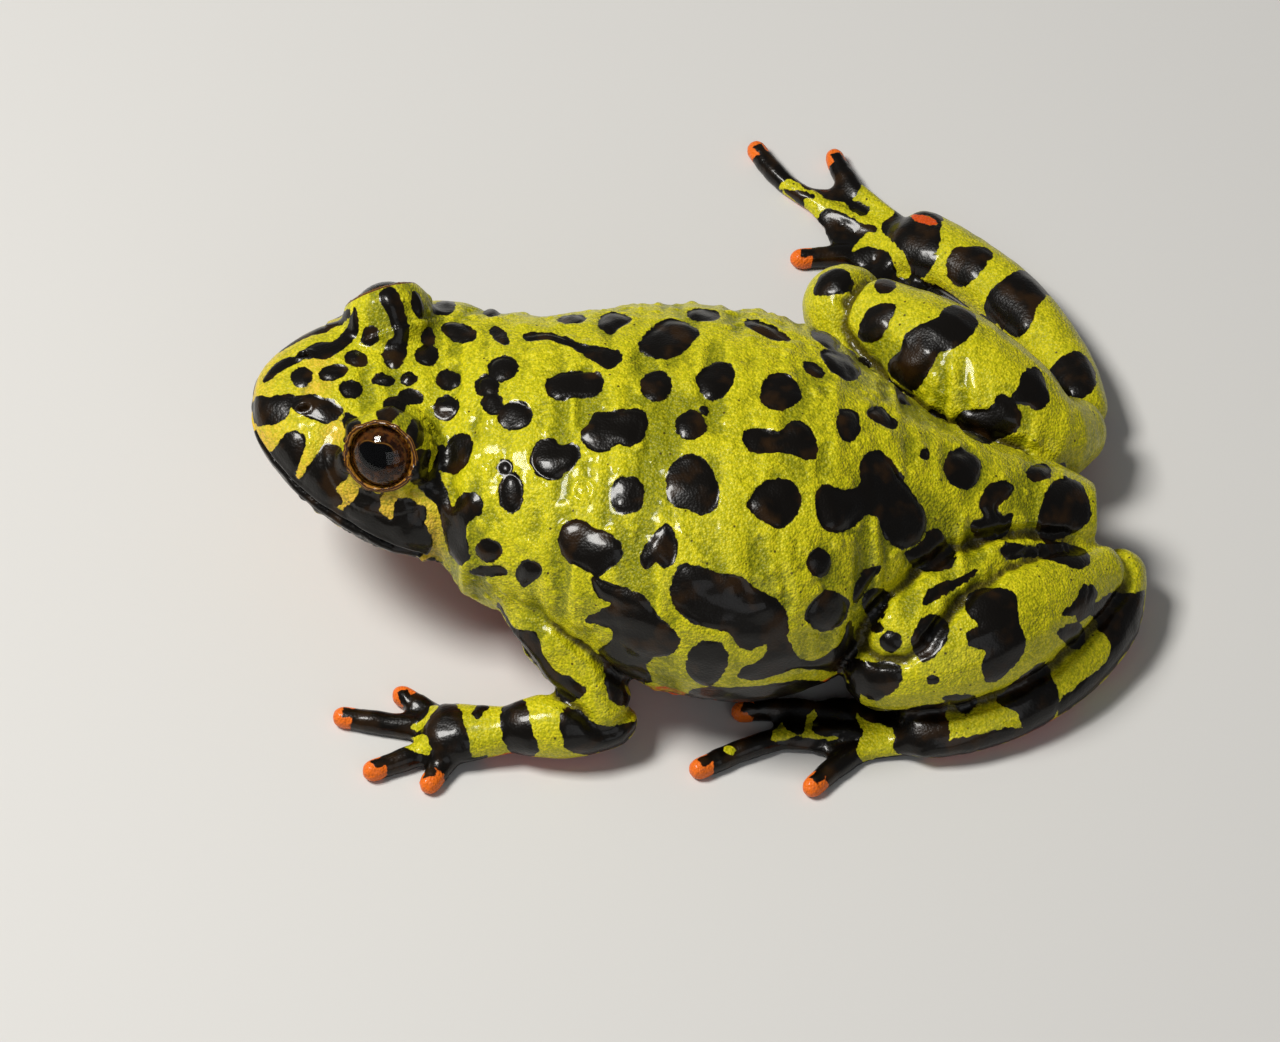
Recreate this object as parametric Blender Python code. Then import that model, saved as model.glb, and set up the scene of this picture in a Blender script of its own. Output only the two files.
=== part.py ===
"""Fire-bellied toad at life size, sitting still on flat ground with its hind legs folded.

The toad faces -Y, +X is its left side and +Z is up. The origin lies on the ground under the
middle of the trunk. Sizes are millimetres, turned into metres as each mesh is made.
"""

import math

import bmesh
import bpy
from mathutils import Matrix, Vector

# Driving sizes of the animal. The rows further down are drawn for a toad of the drawn length
# and follow the real length from snout to vent.
SNOUT_VENT = 46.0
DRAWN_LENGTH = 46.0
MM = 0.001 * SNOUT_VENT / DRAWN_LENGTH
TRUNK_TOP = 15.2
EYE_RADIUS = 2.12
SKIN_GAP = 0.25
WEB_THICK = 0.5
WEB_REACH = 0.62
WEB_HOLLOW = 0.8
WEB_LIFT = 0.2
WEB_STEPS = 5

# Colours of the toad, as its materials show them
BACK_GREEN = (0.50, 0.58, 0.03, 1.0)
LIMB_GREEN = (0.47, 0.52, 0.03, 1.0)
IRIS_BROWN = (0.16, 0.07, 0.02, 1.0)

# Mesh fineness
BODY_SIDES = 30
LIMB_SIDES = 16
DIGIT_SIDES = 8
NOSTRIL_SIDES = 10

# Width and depth of the block that trims the feet and the belly level
GROUND_SIZE = (120.0, 10.0)


def clear_scene():
    for obj in list(bpy.data.objects):
        bpy.data.objects.remove(obj, do_unlink=True)


def new_collection(name):
    group = bpy.data.collections.new(name)
    bpy.context.scene.collection.children.link(group)
    return group


def to_object(name, mesh):
    """An object in the scene made from a finished bmesh."""
    data = bpy.data.meshes.new(name)
    mesh.to_mesh(data)
    mesh.free()
    obj = bpy.data.objects.new(name, data)
    bpy.context.scene.collection.objects.link(obj)
    return obj


def skin_material(name, colour, roughness):
    mat = bpy.data.materials.new(name)
    mat.use_nodes = True
    shader = mat.node_tree.nodes["Principled BSDF"]
    shader.inputs["Base Color"].default_value = colour
    shader.inputs["Roughness"].default_value = roughness
    shader.inputs["Metallic"].default_value = 0.0
    return mat


def spline_at(rows, place):
    """One row read from the curve through the rows, whole numbers being the rows themselves."""
    last = len(rows) - 1
    i = min(int(place), last - 1)
    t = place - i
    a, b, c, d = (rows[max(0, min(last, i + k))] for k in (-1, 0, 1, 2))
    return tuple(
        0.5 * (2 * q + (r - p) * t + (2 * p - 5 * q + 4 * r - w) * t * t + (3 * q - p - 3 * r + w) * t**3)
        for p, q, r, w in zip(a, b, c, d)
    )


def spline(rows, steps):
    """Rows along the curve, steps to each span."""
    count = (len(rows) - 1) * steps
    return [spline_at(rows, k / steps) for k in range(count + 1)]


def loft(name, rings):
    """A closed solid through rings of points, each end closed with a fan."""
    mesh = bmesh.new()
    layers = [[mesh.verts.new(p * MM) for p in ring] for ring in rings]
    count = len(layers[0])
    for low, high in zip(layers, layers[1:]):
        for k in range(count):
            n = (k + 1) % count
            mesh.faces.new((low[k], low[n], high[n], high[k]))
    for layer, ring, turn in ((layers[0], rings[0], -1), (layers[-1], rings[-1], 1)):
        hub = mesh.verts.new(sum(ring, Vector()) / count * MM)
        for k in range(count):
            n = (k + 1) % count
            mesh.faces.new((layer[k], layer[n], hub)[::turn])
    bmesh.ops.recalc_face_normals(mesh, faces=mesh.faces)
    return to_object(name, mesh)


def section(centre, side, up, half, rise, drop, top_power, low_power, count):
    """One ring of a body: a superellipse with its own height above and below the widest level."""
    ring = []
    for k in range(count):
        angle = 2 * math.pi * (k + 0.5) / count
        c, s = math.cos(angle), math.sin(angle)
        power = top_power if s > 0 else low_power
        height = rise if s > 0 else drop
        across = math.copysign(abs(c) ** (2 / power), c) * half
        above = math.copysign(abs(s) ** (2 / power), s) * height
        ring.append(centre + side * across + up * above)
    return ring


# How the round end of a limb closes: how far on, and how much of the width is left
ROUND_END = [(0.0, 1.0), (0.38, 0.92), (0.72, 0.69), (0.94, 0.34)]


def tube(name, path, sides, steps=3, grow=0.0, round_start=True):
    """A limb or digit: rows of x, y, z, half width and half height along its middle line."""
    rows = spline(path, steps)
    places = [Vector(r[:3]) for r in rows]
    rings = []
    count = len(rows)
    for i, row in enumerate(rows):
        along = (places[min(i + 1, count - 1)] - places[max(i - 1, 0)]).normalized()
        side = along.cross(Vector((0, 0, 1))).normalized()
        up = side.cross(along)
        ends = ROUND_END[:1]
        if i == 0 and round_start:
            ends = [(-push, share) for push, share in reversed(ROUND_END)]
        if i == count - 1:
            ends = ROUND_END
        for push, share in ends:
            wide, high = (row[3] + grow) * share, (row[4] + grow) * share
            reach = min(row[3], row[4]) + grow
            rings.append(section(places[i] + along * push * reach, side, up, wide, high, high, 2, 2, sides))
    return loft(name, rings)


def ellipsoid(name, centre, radii, turn=None, segments=20, rows=12):
    mesh = bmesh.new()
    bmesh.ops.create_uvsphere(mesh, u_segments=segments, v_segments=rows, radius=1.0)
    scale = Matrix.Diagonal((radii[0] * MM, radii[1] * MM, radii[2] * MM, 1.0))
    spin = turn.to_4x4() if turn else Matrix.Identity(4)
    bmesh.ops.transform(mesh, matrix=Matrix.Translation(centre * MM) @ spin @ scale, verts=mesh.verts)
    return to_object(name, mesh)


def rod(name, start, end, radius_start, radius_end, sides):
    """A round bar or cone between two points."""
    way = end - start
    radii = {"radius1": radius_start * MM, "radius2": radius_end * MM}
    mesh = bmesh.new()
    bmesh.ops.create_cone(mesh, cap_ends=True, segments=sides, depth=way.length * MM, **radii)
    turn = Vector((0, 0, 1)).rotation_difference(way).to_matrix().to_4x4()
    bmesh.ops.transform(mesh, matrix=Matrix.Translation((start + end) / 2 * MM) @ turn, verts=mesh.verts)
    return to_object(name, mesh)


def apply_boolean(obj, others, operation):
    """Joins or cuts obj with a list of closed meshes, then removes them."""
    group = new_collection("cutters")
    for other in others:
        bpy.context.scene.collection.objects.unlink(other)
        group.objects.link(other)
    modifier = obj.modifiers.new(operation.lower(), "BOOLEAN")
    modifier.operation = operation
    modifier.operand_type = "COLLECTION"
    modifier.collection = group
    modifier.solver = "EXACT"
    graph = bpy.context.evaluated_depsgraph_get()
    made = bpy.data.meshes.new_from_object(obj.evaluated_get(graph))
    obj.modifiers.clear()
    old = obj.data
    obj.data = made
    bpy.data.meshes.remove(old)
    for other in others:
        bpy.data.objects.remove(other, do_unlink=True)
    bpy.data.collections.remove(group)
    return obj


def keep_largest(obj):
    """Leaves only the largest closed surface, so that a cut drops its loose scraps."""
    mesh = bmesh.new()
    mesh.from_mesh(obj.data)
    left = set(mesh.verts)
    islands = []
    while left:
        stack = [left.pop()]
        island = set(stack)
        while stack:
            for edge in stack.pop().link_edges:
                for vert in edge.verts:
                    if vert not in island:
                        island.add(vert)
                        left.discard(vert)
                        stack.append(vert)
        islands.append(island)
    islands.sort(key=len)
    for island in islands[:-1]:
        bmesh.ops.delete(mesh, geom=list(island), context="VERTS")
    bmesh.ops.recalc_face_normals(mesh, faces=mesh.faces)
    mesh.to_mesh(obj.data)
    mesh.free()


# The head's own frame. Its origin is midway between the eyes, and it is turned a little to the
# toad's left, lifted at the snout and tipped to the right.
HEAD_PLACE = Vector((-4.0, -16.3, 12.2))
HEAD_YAW = 1.0
HEAD_PITCH = 7.0
HEAD_ROLL = 2.0

# Eyes and lids: how far out and up from the head's origin, and the way the pupil looks
EYE_SPREAD = 4.67
EYE_LIFT = 0.38
EYE_AXIS = (0.36, 0.78, 0.53)
LID_THICK = 0.55
LID_LONGER = 0.15
LID_DROP = 0.1
LID_OPENING = (2.4, 2.3, 2.0)

# Nostrils: the place on the snout, the slant of the hole and its radii
NOSTRIL_PLACE = (4.85, 1.25, 0.05)
NOSTRIL_SLANT = (0.35, 0.25, 0.3)
NOSTRIL_DEPTH = 0.75
NOSTRIL_RADII = (0.18, 0.34)

# Mouth line: how far ahead and how high it runs from in front of the snout to its corner
MOUTH_ROWS = [
    (8.50, -2.30), (6.75, -2.23), (6.05, -2.43), (4.85, -2.73), (3.10, -3.08), (1.10, -3.38),
    (-1.10, -3.72), (-2.50, -4.20),
]
MOUTH_LINE = 0.3
MOUTH_DEPTH = 0.4
MOUTH_REACH = 12.0


def head_axes():
    """Forward, left and up of the head."""
    yaw, pitch, roll = math.radians(HEAD_YAW), math.radians(HEAD_PITCH), math.radians(HEAD_ROLL)
    level = Vector((math.sin(yaw), -math.cos(yaw), 0.0))
    forward = level * math.cos(pitch) + Vector((0, 0, 1)) * math.sin(pitch)
    flat_left = Vector((math.cos(yaw), math.sin(yaw), 0.0))
    left = flat_left * math.cos(roll) + forward.cross(flat_left) * math.sin(roll)
    return forward, left, forward.cross(left)


def head_point(ahead, out, above):
    forward, left, up = head_axes()
    return HEAD_PLACE + forward * ahead + left * out + up * above


# Head sections: distance ahead of the eyes, half width, widest level, top and underside
HEAD_SECTIONS = [
    (7.00, 0.9, -1.85, -1.15, -2.75),
    (6.75, 1.9, -1.95, -0.75, -3.55),
    (6.05, 3.1, -2.15, -0.30, -4.25),
    (4.85, 4.5, -2.45, 0.20, -4.90),
    (3.10, 5.9, -2.80, 0.60, -5.50),
    (1.10, 7.1, -3.10, 0.90, -6.00),
    (-1.10, 7.9, -3.40, 1.15, -6.40),
    (-3.30, 8.2, -3.60, 1.50, -7.00),
]

# Trunk sections: y, middle x, half width, widest level, top and underside
TRUNK_SECTIONS = [
    (-11.4, -2.6, 8.4, 8.8, 14.2, 3.4),
    (-9.2, -1.8, 8.6, 8.7, 14.7, 2.6),
    (-6.6, -1.1, 9.6, 8.5, 15.0, 1.7),
    (-3.4, -0.6, 10.9, 8.1, 15.2, 0.6),
    (0.0, -0.2, 11.6, 7.7, TRUNK_TOP, -0.1),
    (3.6, 0.0, 11.4, 7.4, 15.1, -0.3),
    (7.4, -0.2, 10.0, 7.1, 14.5, -0.3),
    (11.2, -0.2, 7.0, 6.2, 12.4, -0.1),
    (14.8, -0.2, 5.1, 5.3, 10.5, 0.5),
    (18.0, -0.5, 3.9, 4.9, 8.8, 1.4),
    (20.4, -0.8, 3.0, 4.9, 7.6, 2.7),
    (21.9, -1.0, 1.8, 5.1, 6.7, 4.0),
]
NECK = len(HEAD_SECTIONS)
TAIL = NECK + len(TRUNK_SECTIONS) - 1
NECK_GAP = 0.12

# How square the sections are: 2 is round, more is squarer and less is more pointed
HEAD_TOP_POWER = 2.3
HEAD_LOW_POWER = 2.1
TRUNK_TOP_POWER = 2.15
RUMP_TOP_POWER = 1.8
TRUNK_LOW_POWER = 2.25
RUMP_FIRST_Y = 4.0
RUMP_LAST_Y = 14.0

# The turn and lift of the trunk's first section, which fade out at the middle of the trunk
SHOULDER_YAW = -6.0
SHOULDER_PITCH = 4.0
BODY_STEPS = 2


def body_rows():
    """Head and trunk sections in one list: centre, yaw, pitch, half width, rise, drop, powers."""
    rows = []
    for ahead, half, level, top, low in HEAD_SECTIONS:
        place = head_point(ahead, 0.0, level)
        powers = (HEAD_TOP_POWER, HEAD_LOW_POWER)
        rows.append((*place, HEAD_YAW, HEAD_PITCH, half, top - level, level - low, *powers))
    for y, x, half, level, top, low in TRUNK_SECTIONS:
        lean = max(0.0, y / TRUNK_SECTIONS[0][0])
        rump = min(1.0, max(0.0, (y - RUMP_FIRST_Y) / (RUMP_LAST_Y - RUMP_FIRST_Y)))
        powers = (TRUNK_TOP_POWER + (RUMP_TOP_POWER - TRUNK_TOP_POWER) * rump, TRUNK_LOW_POWER)
        turns = (SHOULDER_YAW * lean, SHOULDER_PITCH * lean)
        rows.append((x, y, level, *turns, half, top - level, level - low, *powers))
    return rows


def body_ring(row, grow):
    x, y, z, yaw, pitch, half, rise, drop, top_power, low_power = row
    turn, tilt = math.radians(yaw), math.radians(pitch)
    level = Vector((math.sin(turn), -math.cos(turn), 0.0))
    ahead = level * math.cos(tilt) + Vector((0, 0, 1)) * math.sin(tilt)
    side = Vector((math.cos(turn), math.sin(turn), 0.0))
    sizes = (half + grow, rise + grow, drop + grow)
    return section(Vector((x, y, z)), side, ahead.cross(side), *sizes, top_power, low_power, BODY_SIDES)


def body_form(name, first, last, grow=0.0):
    """The body between two places in the list of sections, whole numbers being the sections."""
    rows = body_rows()
    count = max(2, round((last - first) * BODY_STEPS))
    places = [first + (last - first) * k / count for k in range(count + 1)]
    return loft(name, [body_ring(spline_at(rows, place), grow) for place in places])


# Legs and arms: each row is x, y, z, half width and half height along the middle line
LEGS = {
    "left": {
        "thigh": [(2.0, 19.0, 4.5, 2.4, 2.4), (3.1, 16.4, 5.1, 2.9, 2.9), (4.9, 13.8, 5.75, 2.95, 2.95),
                  (7.6, 11.4, 5.75, 2.8, 2.8)],
        "shank": [(8.7, 10.4, 4.4, 2.4, 2.4), (8.2, 13.0, 4.8, 2.9, 2.9), (6.35, 16.2, 4.7, 3.35, 3.35),
                  (3.9, 19.3, 4.1, 2.9, 2.9), (2.1, 21.7, 3.4, 2.0, 2.0)],
        "foot": [(1.2, 23.3, 2.5, 1.5, 1.5), (3.9, 22.6, 1.9, 1.7, 1.7), (7.0, 20.2, 1.7, 1.8, 1.75),
                 (9.1, 17.2, 1.5, 1.85, 1.6), (10.1, 14.4, 1.3, 1.9, 1.4), (10.2, 12.2, 1.1, 2.1, 1.15)],
        "toes": [[(9.4, 12.4), (8.9, 10.9)], [(9.4, 11.4), (8.8, 9.2), (8.6, 7.6)],
                 [(9.7, 10.8), (8.7, 5.6), (8.85, 2.74)], [(10.6, 10.8), (10.6, 4.8), (12.64, 0.45)],
                 [(11.2, 11.4), (11.6, 8.8), (13.82, 6.48)]],
    },
    "right": {
        "thigh": [(-3.1, 18.3, 3.5, 2.3, 2.3), (-7.0, 15.5, 3.7, 2.75, 2.75), (-12.0, 11.6, 4.1, 2.8, 2.8),
                  (-15.6, 8.7, 5.1, 2.45, 2.45)],
        "shank": [(-14.1, 10.6, 5.6, 2.5, 2.5), (-11.35, 13.8, 5.7, 3.3, 3.3), (-8.5, 17.1, 4.9, 3.4, 3.4),
                  (-7.3, 19.5, 4.0, 2.8, 2.8), (-8.3, 21.0, 3.1, 2.0, 2.0)],
        "foot": [(-10.8, 21.7, 2.3, 1.5, 1.5), (-14.2, 20.8, 1.9, 1.7, 1.7), (-18.6, 18.4, 1.7, 1.85, 1.75),
                 (-21.9, 15.4, 1.5, 1.95, 1.55), (-23.9, 12.8, 1.2, 2.2, 1.25)],
        "toes": [[(-22.2, 13.4), (-19.6, 12.6)], [(-22.8, 12.2), (-20.4, 9.4)],
                 [(-23.8, 11.8), (-23.4, 9.2), (-23.14, 6.35)],
                 [(-24.4, 11.6), (-26.2, 8.9), (-28.6, 5.8), (-31.31, 3.99)],
                 [(-25.2, 12.2), (-28.3, 9.5), (-30.7, 8.48)]],
    },
}
ARMS = {
    "left": {
        "upper_arm": [(3.6, -8.8, 7.8, 2.9, 2.9), (6.3, -7.3, 6.3, 2.5, 2.5), (8.6, -5.6, 4.2, 2.1, 2.1),
                      (10.2, -5.0, 2.7, 1.8, 1.8)],
        "forearm": [(10.5, -4.6, 2.2, 1.7, 1.7), (10.9, -6.8, 2.1, 1.8, 1.8), (10.9, -9.0, 1.8, 1.5, 1.5)],
        "hand": [(10.9, -10.2, 1.5, 1.4, 1.3), (10.8, -12.0, 1.25, 1.65, 1.2),
                 (10.7, -13.4, 1.1, 1.7, 1.05)],
        "fingers": [[(9.8, -13.2), (7.8, -15.6)], [(10.1, -13.8), (9.7, -16.2), (9.24, -18.74)],
                    [(11.3, -13.8), (12.1, -15.6), (12.77, -17.05)], [(11.8, -13.0), (13.6, -14.0)]],
    },
    "right": {
        "upper_arm": [(-6.2, -8.8, 7.6, 2.9, 2.9), (-9.4, -7.1, 6.1, 2.5, 2.5), (-12.2, -5.6, 4.1, 2.1, 2.1),
                      (-13.9, -4.9, 2.7, 1.8, 1.8)],
        "forearm": [(-14.3, -4.6, 2.2, 1.7, 1.7), (-14.9, -6.9, 2.1, 1.8, 1.8),
                    (-14.8, -9.4, 1.8, 1.5, 1.5)],
        "hand": [(-14.7, -10.6, 1.5, 1.4, 1.3), (-14.4, -12.4, 1.25, 1.65, 1.2),
                 (-14.2, -13.8, 1.1, 1.7, 1.05)],
        "fingers": [[(-13.4, -13.8), (-11.3, -16.0)], [(-13.9, -14.3), (-13.3, -16.8), (-12.9, -18.9)],
                    [(-14.7, -14.3), (-15.3, -16.2), (-16.0, -17.9)], [(-15.3, -13.5), (-17.1, -14.7)]],
    },
}

# Fingers and toes: half thickness along the shaft, at the root beyond that, and at the round tip
DIGIT_HALF = 0.46
DIGIT_ROOT = 0.22
DIGIT_TIP = 0.57
DIGIT_SINK = 0.1


def digit(name, places, grow=0.0):
    """A finger or toe lying on the ground, with a slightly swollen round tip."""
    rows = []
    last = len(places) - 1
    for i, (x, y) in enumerate(places):
        half = DIGIT_TIP if i == last else DIGIT_HALF + DIGIT_ROOT * (1 - i / last)
        rows.append((x, y, half - DIGIT_SINK, half, half))
    return tube(name, rows, DIGIT_SIDES, 2, grow, round_start=False)


def web(name, one, two):
    """A thin sheet of skin between two neighbouring toes, hollow at its free edge."""
    rings = []
    low, high = Vector((0, 0, WEB_LIFT)), Vector((0, 0, WEB_LIFT + WEB_THICK))
    for k in range(WEB_STEPS + 1):
        out = WEB_REACH * k / WEB_STEPS
        a, b = (Vector((*spline_at(toe, out * (len(toe) - 1)), 0.0)) for toe in (one, two))
        inner = [Vector((*spline_at(toe, out * WEB_HOLLOW * (len(toe) - 1)), 0.0)) for toe in (one, two)]
        middle = (inner[0] + inner[1]) / 2
        rings.append([a + low, middle + low, b + low, b + high, middle + high, a + high])
    return loft(name, rings)


def eye_centre(side):
    return head_point(0.0, EYE_SPREAD * side, EYE_LIFT)


def eye_direction(side):
    forward, left, up = head_axes()
    ahead, out, above = EYE_AXIS
    return (forward * ahead + left * out * side + up * above).normalized()


def eye_turn(side):
    """The eye's own axes: along the head, around the lid and out of the socket."""
    out = eye_direction(side)
    along = (head_axes()[0] - out * head_axes()[0].dot(out)).normalized()
    return Matrix((along, out.cross(along), out)).transposed()


def nostril(side):
    ahead, out, above = NOSTRIL_PLACE
    forward, outward, upward = NOSTRIL_SLANT
    inner = head_point(ahead - forward, (out - outward) * side, above - NOSTRIL_DEPTH)
    outer = head_point(ahead + forward, (out + outward) * side, above + upward)
    return rod("nostril", inner, outer, *NOSTRIL_RADII, NOSTRIL_SIDES)


def mouth_slit():
    """The thin band that cuts the mouth line into the rim of the head."""
    forward, left, up = head_axes()
    rings = []
    for ahead, above in MOUTH_ROWS:
        middle = head_point(ahead, 0.0, above)
        one, other, half = middle + left * MOUTH_REACH, middle - left * MOUTH_REACH, up * MOUTH_LINE / 2
        rings.append([one - half, one + half, other + half, other - half])
    return apply_boolean(loft("slit", rings), [body_form("inside", 0, NECK, -MOUTH_DEPTH)], "DIFFERENCE")


def build_head():
    head = body_form("head", 0, NECK - NECK_GAP)
    up = head_axes()[2]
    thick = EYE_RADIUS + LID_THICK
    lids, cuts = [], []
    for side in (1, -1):
        centre, turn = eye_centre(side), eye_turn(side)
        front = centre + eye_direction(side) * EYE_RADIUS
        dome = (thick + LID_LONGER, thick, thick)
        lids.append(ellipsoid("lids", centre - up * LID_DROP, dome, turn, 22, 12))
        cuts.append(ellipsoid("socket", centre, (EYE_RADIUS + SKIN_GAP,) * 3, turn, 20, 12))
        cuts.append(ellipsoid("opening", front, LID_OPENING, turn, 22, 10))
        cuts.append(nostril(side))
    apply_boolean(head, lids, "UNION")
    apply_boolean(head, cuts, "DIFFERENCE")
    return apply_boolean(head, [mouth_slit()], "DIFFERENCE")


def limb_gap(path):
    """A limb grown by the gap that it keeps to its neighbours."""
    return tube("gap", path, LIMB_SIDES, grow=SKIN_GAP)


def build_leg(side, parts):
    names = ("thigh", "shank", "foot")
    leg = {name: tube(name + "_" + side, parts[name], LIMB_SIDES) for name in names}
    pieces = [digit("toe", toe) for toe in parts["toes"]]
    pieces += [web("web", one, two) for one, two in zip(parts["toes"], parts["toes"][1:])]
    apply_boolean(leg["foot"], pieces, "UNION")
    apply_boolean(leg["thigh"], [limb_gap(parts["shank"])], "DIFFERENCE")
    apply_boolean(leg["foot"], [limb_gap(parts["shank"]), limb_gap(parts["thigh"])], "DIFFERENCE")
    return leg


def build_arm(side, parts):
    names = ("upper_arm", "forearm", "hand")
    arm = {name: tube(name + "_" + side, parts[name], LIMB_SIDES) for name in names}
    apply_boolean(arm["hand"], [digit("finger", finger) for finger in parts["fingers"]], "UNION")
    apply_boolean(arm["forearm"], [limb_gap(parts["upper_arm"])], "DIFFERENCE")
    apply_boolean(arm["hand"], [limb_gap(parts["forearm"])], "DIFFERENCE")
    return arm


def ground_block():
    """A block under the ground, whose cut leaves small flats where the animal rests."""
    mesh = bmesh.new()
    bmesh.ops.create_cube(mesh, size=1.0)
    width, depth = GROUND_SIZE
    sizes = Matrix.Diagonal((width * MM, width * MM, depth * MM, 1.0))
    place = Matrix.Translation((0, 0, -depth / 2 * MM)) @ sizes
    bmesh.ops.transform(mesh, matrix=place, verts=mesh.verts)
    return to_object("ground", mesh)


clear_scene()
forms = new_collection("fire_bellied_toad")
body_skin = skin_material("toad_skin", BACK_GREEN, 0.42)
limb_skin = skin_material("limb_skin", LIMB_GREEN, 0.4)
eye_surface = skin_material("eye", IRIS_BROWN, 0.12)

nodes = {"head": build_head(), "torso": body_form("torso", NECK, TAIL)}
for label, side in (("left", 1), ("right", -1)):
    nodes["eye_" + label] = ellipsoid("eye", eye_centre(side), (EYE_RADIUS,) * 3, eye_turn(side), 18, 12)
    for part, obj in build_leg(label, LEGS[label]).items():
        nodes[part + "_" + label] = obj
    for part, obj in build_arm(label, ARMS[label]).items():
        nodes[part + "_" + label] = obj

# The thighs are set into the rump, and every other limb stops short of the body
thigh_gaps = [limb_gap(leg["thigh"]) for leg in LEGS.values()]
apply_boolean(nodes["torso"], thigh_gaps, "DIFFERENCE")
for name, obj in nodes.items():
    if name.startswith("eye"):
        continue
    if name.startswith(("shank", "foot", "upper_arm", "forearm", "hand")):
        apply_boolean(obj, [body_form("body", 0, TAIL, SKIN_GAP)], "DIFFERENCE")
    apply_boolean(obj, [ground_block()], "DIFFERENCE")
    keep_largest(obj)

for name, obj in nodes.items():
    bpy.context.scene.collection.objects.unlink(obj)
    forms.objects.link(obj)
    obj.name = name
    surface = limb_skin
    if name in ("head", "torso"):
        surface = body_skin
    if name.startswith("eye"):
        surface = eye_surface
    obj.data.materials.clear()
    obj.data.materials.append(surface)
    for face in obj.data.polygons:
        face.use_smooth = True
        face.material_index = 0
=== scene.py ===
import math

import bmesh
import bpy
import numpy as np
from mathutils import Matrix, Vector
from mathutils.bvhtree import BVHTree
from mathutils.kdtree import KDTree


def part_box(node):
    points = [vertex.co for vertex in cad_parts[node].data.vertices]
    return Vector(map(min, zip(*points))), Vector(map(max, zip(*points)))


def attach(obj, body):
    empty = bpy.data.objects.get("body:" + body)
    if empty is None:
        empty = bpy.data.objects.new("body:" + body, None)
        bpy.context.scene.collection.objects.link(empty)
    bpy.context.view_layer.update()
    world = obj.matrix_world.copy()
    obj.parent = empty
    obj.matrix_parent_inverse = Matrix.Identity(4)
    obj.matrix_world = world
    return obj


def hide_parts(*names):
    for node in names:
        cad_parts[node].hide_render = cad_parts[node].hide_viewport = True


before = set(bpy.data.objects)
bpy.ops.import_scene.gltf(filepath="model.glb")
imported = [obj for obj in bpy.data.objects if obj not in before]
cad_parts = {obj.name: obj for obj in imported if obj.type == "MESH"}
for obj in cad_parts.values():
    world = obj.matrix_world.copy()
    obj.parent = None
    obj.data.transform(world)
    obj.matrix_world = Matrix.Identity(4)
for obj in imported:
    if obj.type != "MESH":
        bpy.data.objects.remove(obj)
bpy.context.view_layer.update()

# The camera looks down on the toad's left side. It stands first because the marks on
# the skin are placed by where the photograph shows them.
MM = 0.001
PHOTO_SIZE = (1280, 1042)
PIXELS_PER_MM = 18.1
SENSOR_WIDTH = 36.0
NEAR_CLIP = 0.01
CAMERA_HEIGHT_ANGLE = math.radians(52.0)
CAMERA_DISTANCE = 360.0
CAMERA_TARGET = Vector((-4.56, -2.76, 0.0))

camera_back = Vector((math.cos(CAMERA_HEIGHT_ANGLE), 0.0, math.sin(CAMERA_HEIGHT_ANGLE)))
camera_right = Vector((0.0, 1.0, 0.0))
camera_up = camera_back.cross(camera_right)
camera_place = CAMERA_TARGET + camera_back * CAMERA_DISTANCE
lens = bpy.data.cameras.new("camera")
lens.sensor_width = SENSOR_WIDTH
lens.lens = SENSOR_WIDTH * PIXELS_PER_MM * CAMERA_DISTANCE / PHOTO_SIZE[0]
lens.clip_start = NEAR_CLIP
camera = bpy.data.objects.new("camera", lens)
turn = Matrix((camera_right, camera_up, camera_back)).transposed()
camera.matrix_world = Matrix.Translation(camera_place * MM) @ turn.to_4x4()
bpy.context.scene.collection.objects.link(camera)
bpy.context.scene.camera = camera


def sight_line(u, v):
    """The direction from the camera through a pixel of the photograph."""
    focal = PIXELS_PER_MM * CAMERA_DISTANCE
    across = camera_right * (u - PHOTO_SIZE[0] / 2)
    down = camera_up * (v - PHOTO_SIZE[1] / 2)
    return (across - down - camera_back * focal).normalized()


# The skin is one closed coat from the snout to the toe tips. It is grown from the flesh
# solids, whose thin partings it bridges, then smoothed where one part runs into the next.
FLESH = [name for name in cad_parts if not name.startswith("eye")]
WELD = 0.002
BRIDGE = 0.19
SKIN_OVER = 0.06
SKIN_CELL = 0.21
SMOOTH_PASSES = 10
SHRINK, REGROW = 0.62, 0.60


def apply_modifiers(obj):
    graph = bpy.context.evaluated_depsgraph_get()
    made = bpy.data.meshes.new_from_object(obj.evaluated_get(graph))
    old = obj.data
    obj.modifiers.clear()
    obj.data = made
    bpy.data.meshes.remove(old)


def read_rows(items, key, width, kind=float):
    """A row of numbers for each vertex or edge of a mesh."""
    rows = np.empty(len(items) * width, dtype=kind)
    items.foreach_get(key, rows)
    return rows.reshape(-1, width)


def write_points(mesh, points):
    mesh.vertices.foreach_set("co", (points * MM).ravel())
    mesh.update()


def store_field(mesh, name, values):
    """Keeps one number for each point of a mesh."""
    layer = mesh.attributes.new(name, "FLOAT", "POINT")
    layer.data.foreach_set("value", values.astype(np.float32))


def neighbour_mean(points, edges, counts):
    """Each point's mean over the points that share an edge with it."""
    mean = np.empty_like(points)
    for axis in range(points.shape[1]):
        total = np.bincount(edges[:, 0], points[edges[:, 1], axis], len(points))
        total += np.bincount(edges[:, 1], points[edges[:, 0], axis], len(points))
        mean[:, axis] = total / counts
    return mean


def relax(points, strength, passes):
    """Smooths the surface and gives back the volume that each pass takes."""
    for _ in range(passes):
        points = points + (neighbour_mean(points, edges, counts) - points) * strength * SHRINK
        points = points - (neighbour_mean(points, edges, counts) - points) * strength * REGROW
    return points


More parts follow.
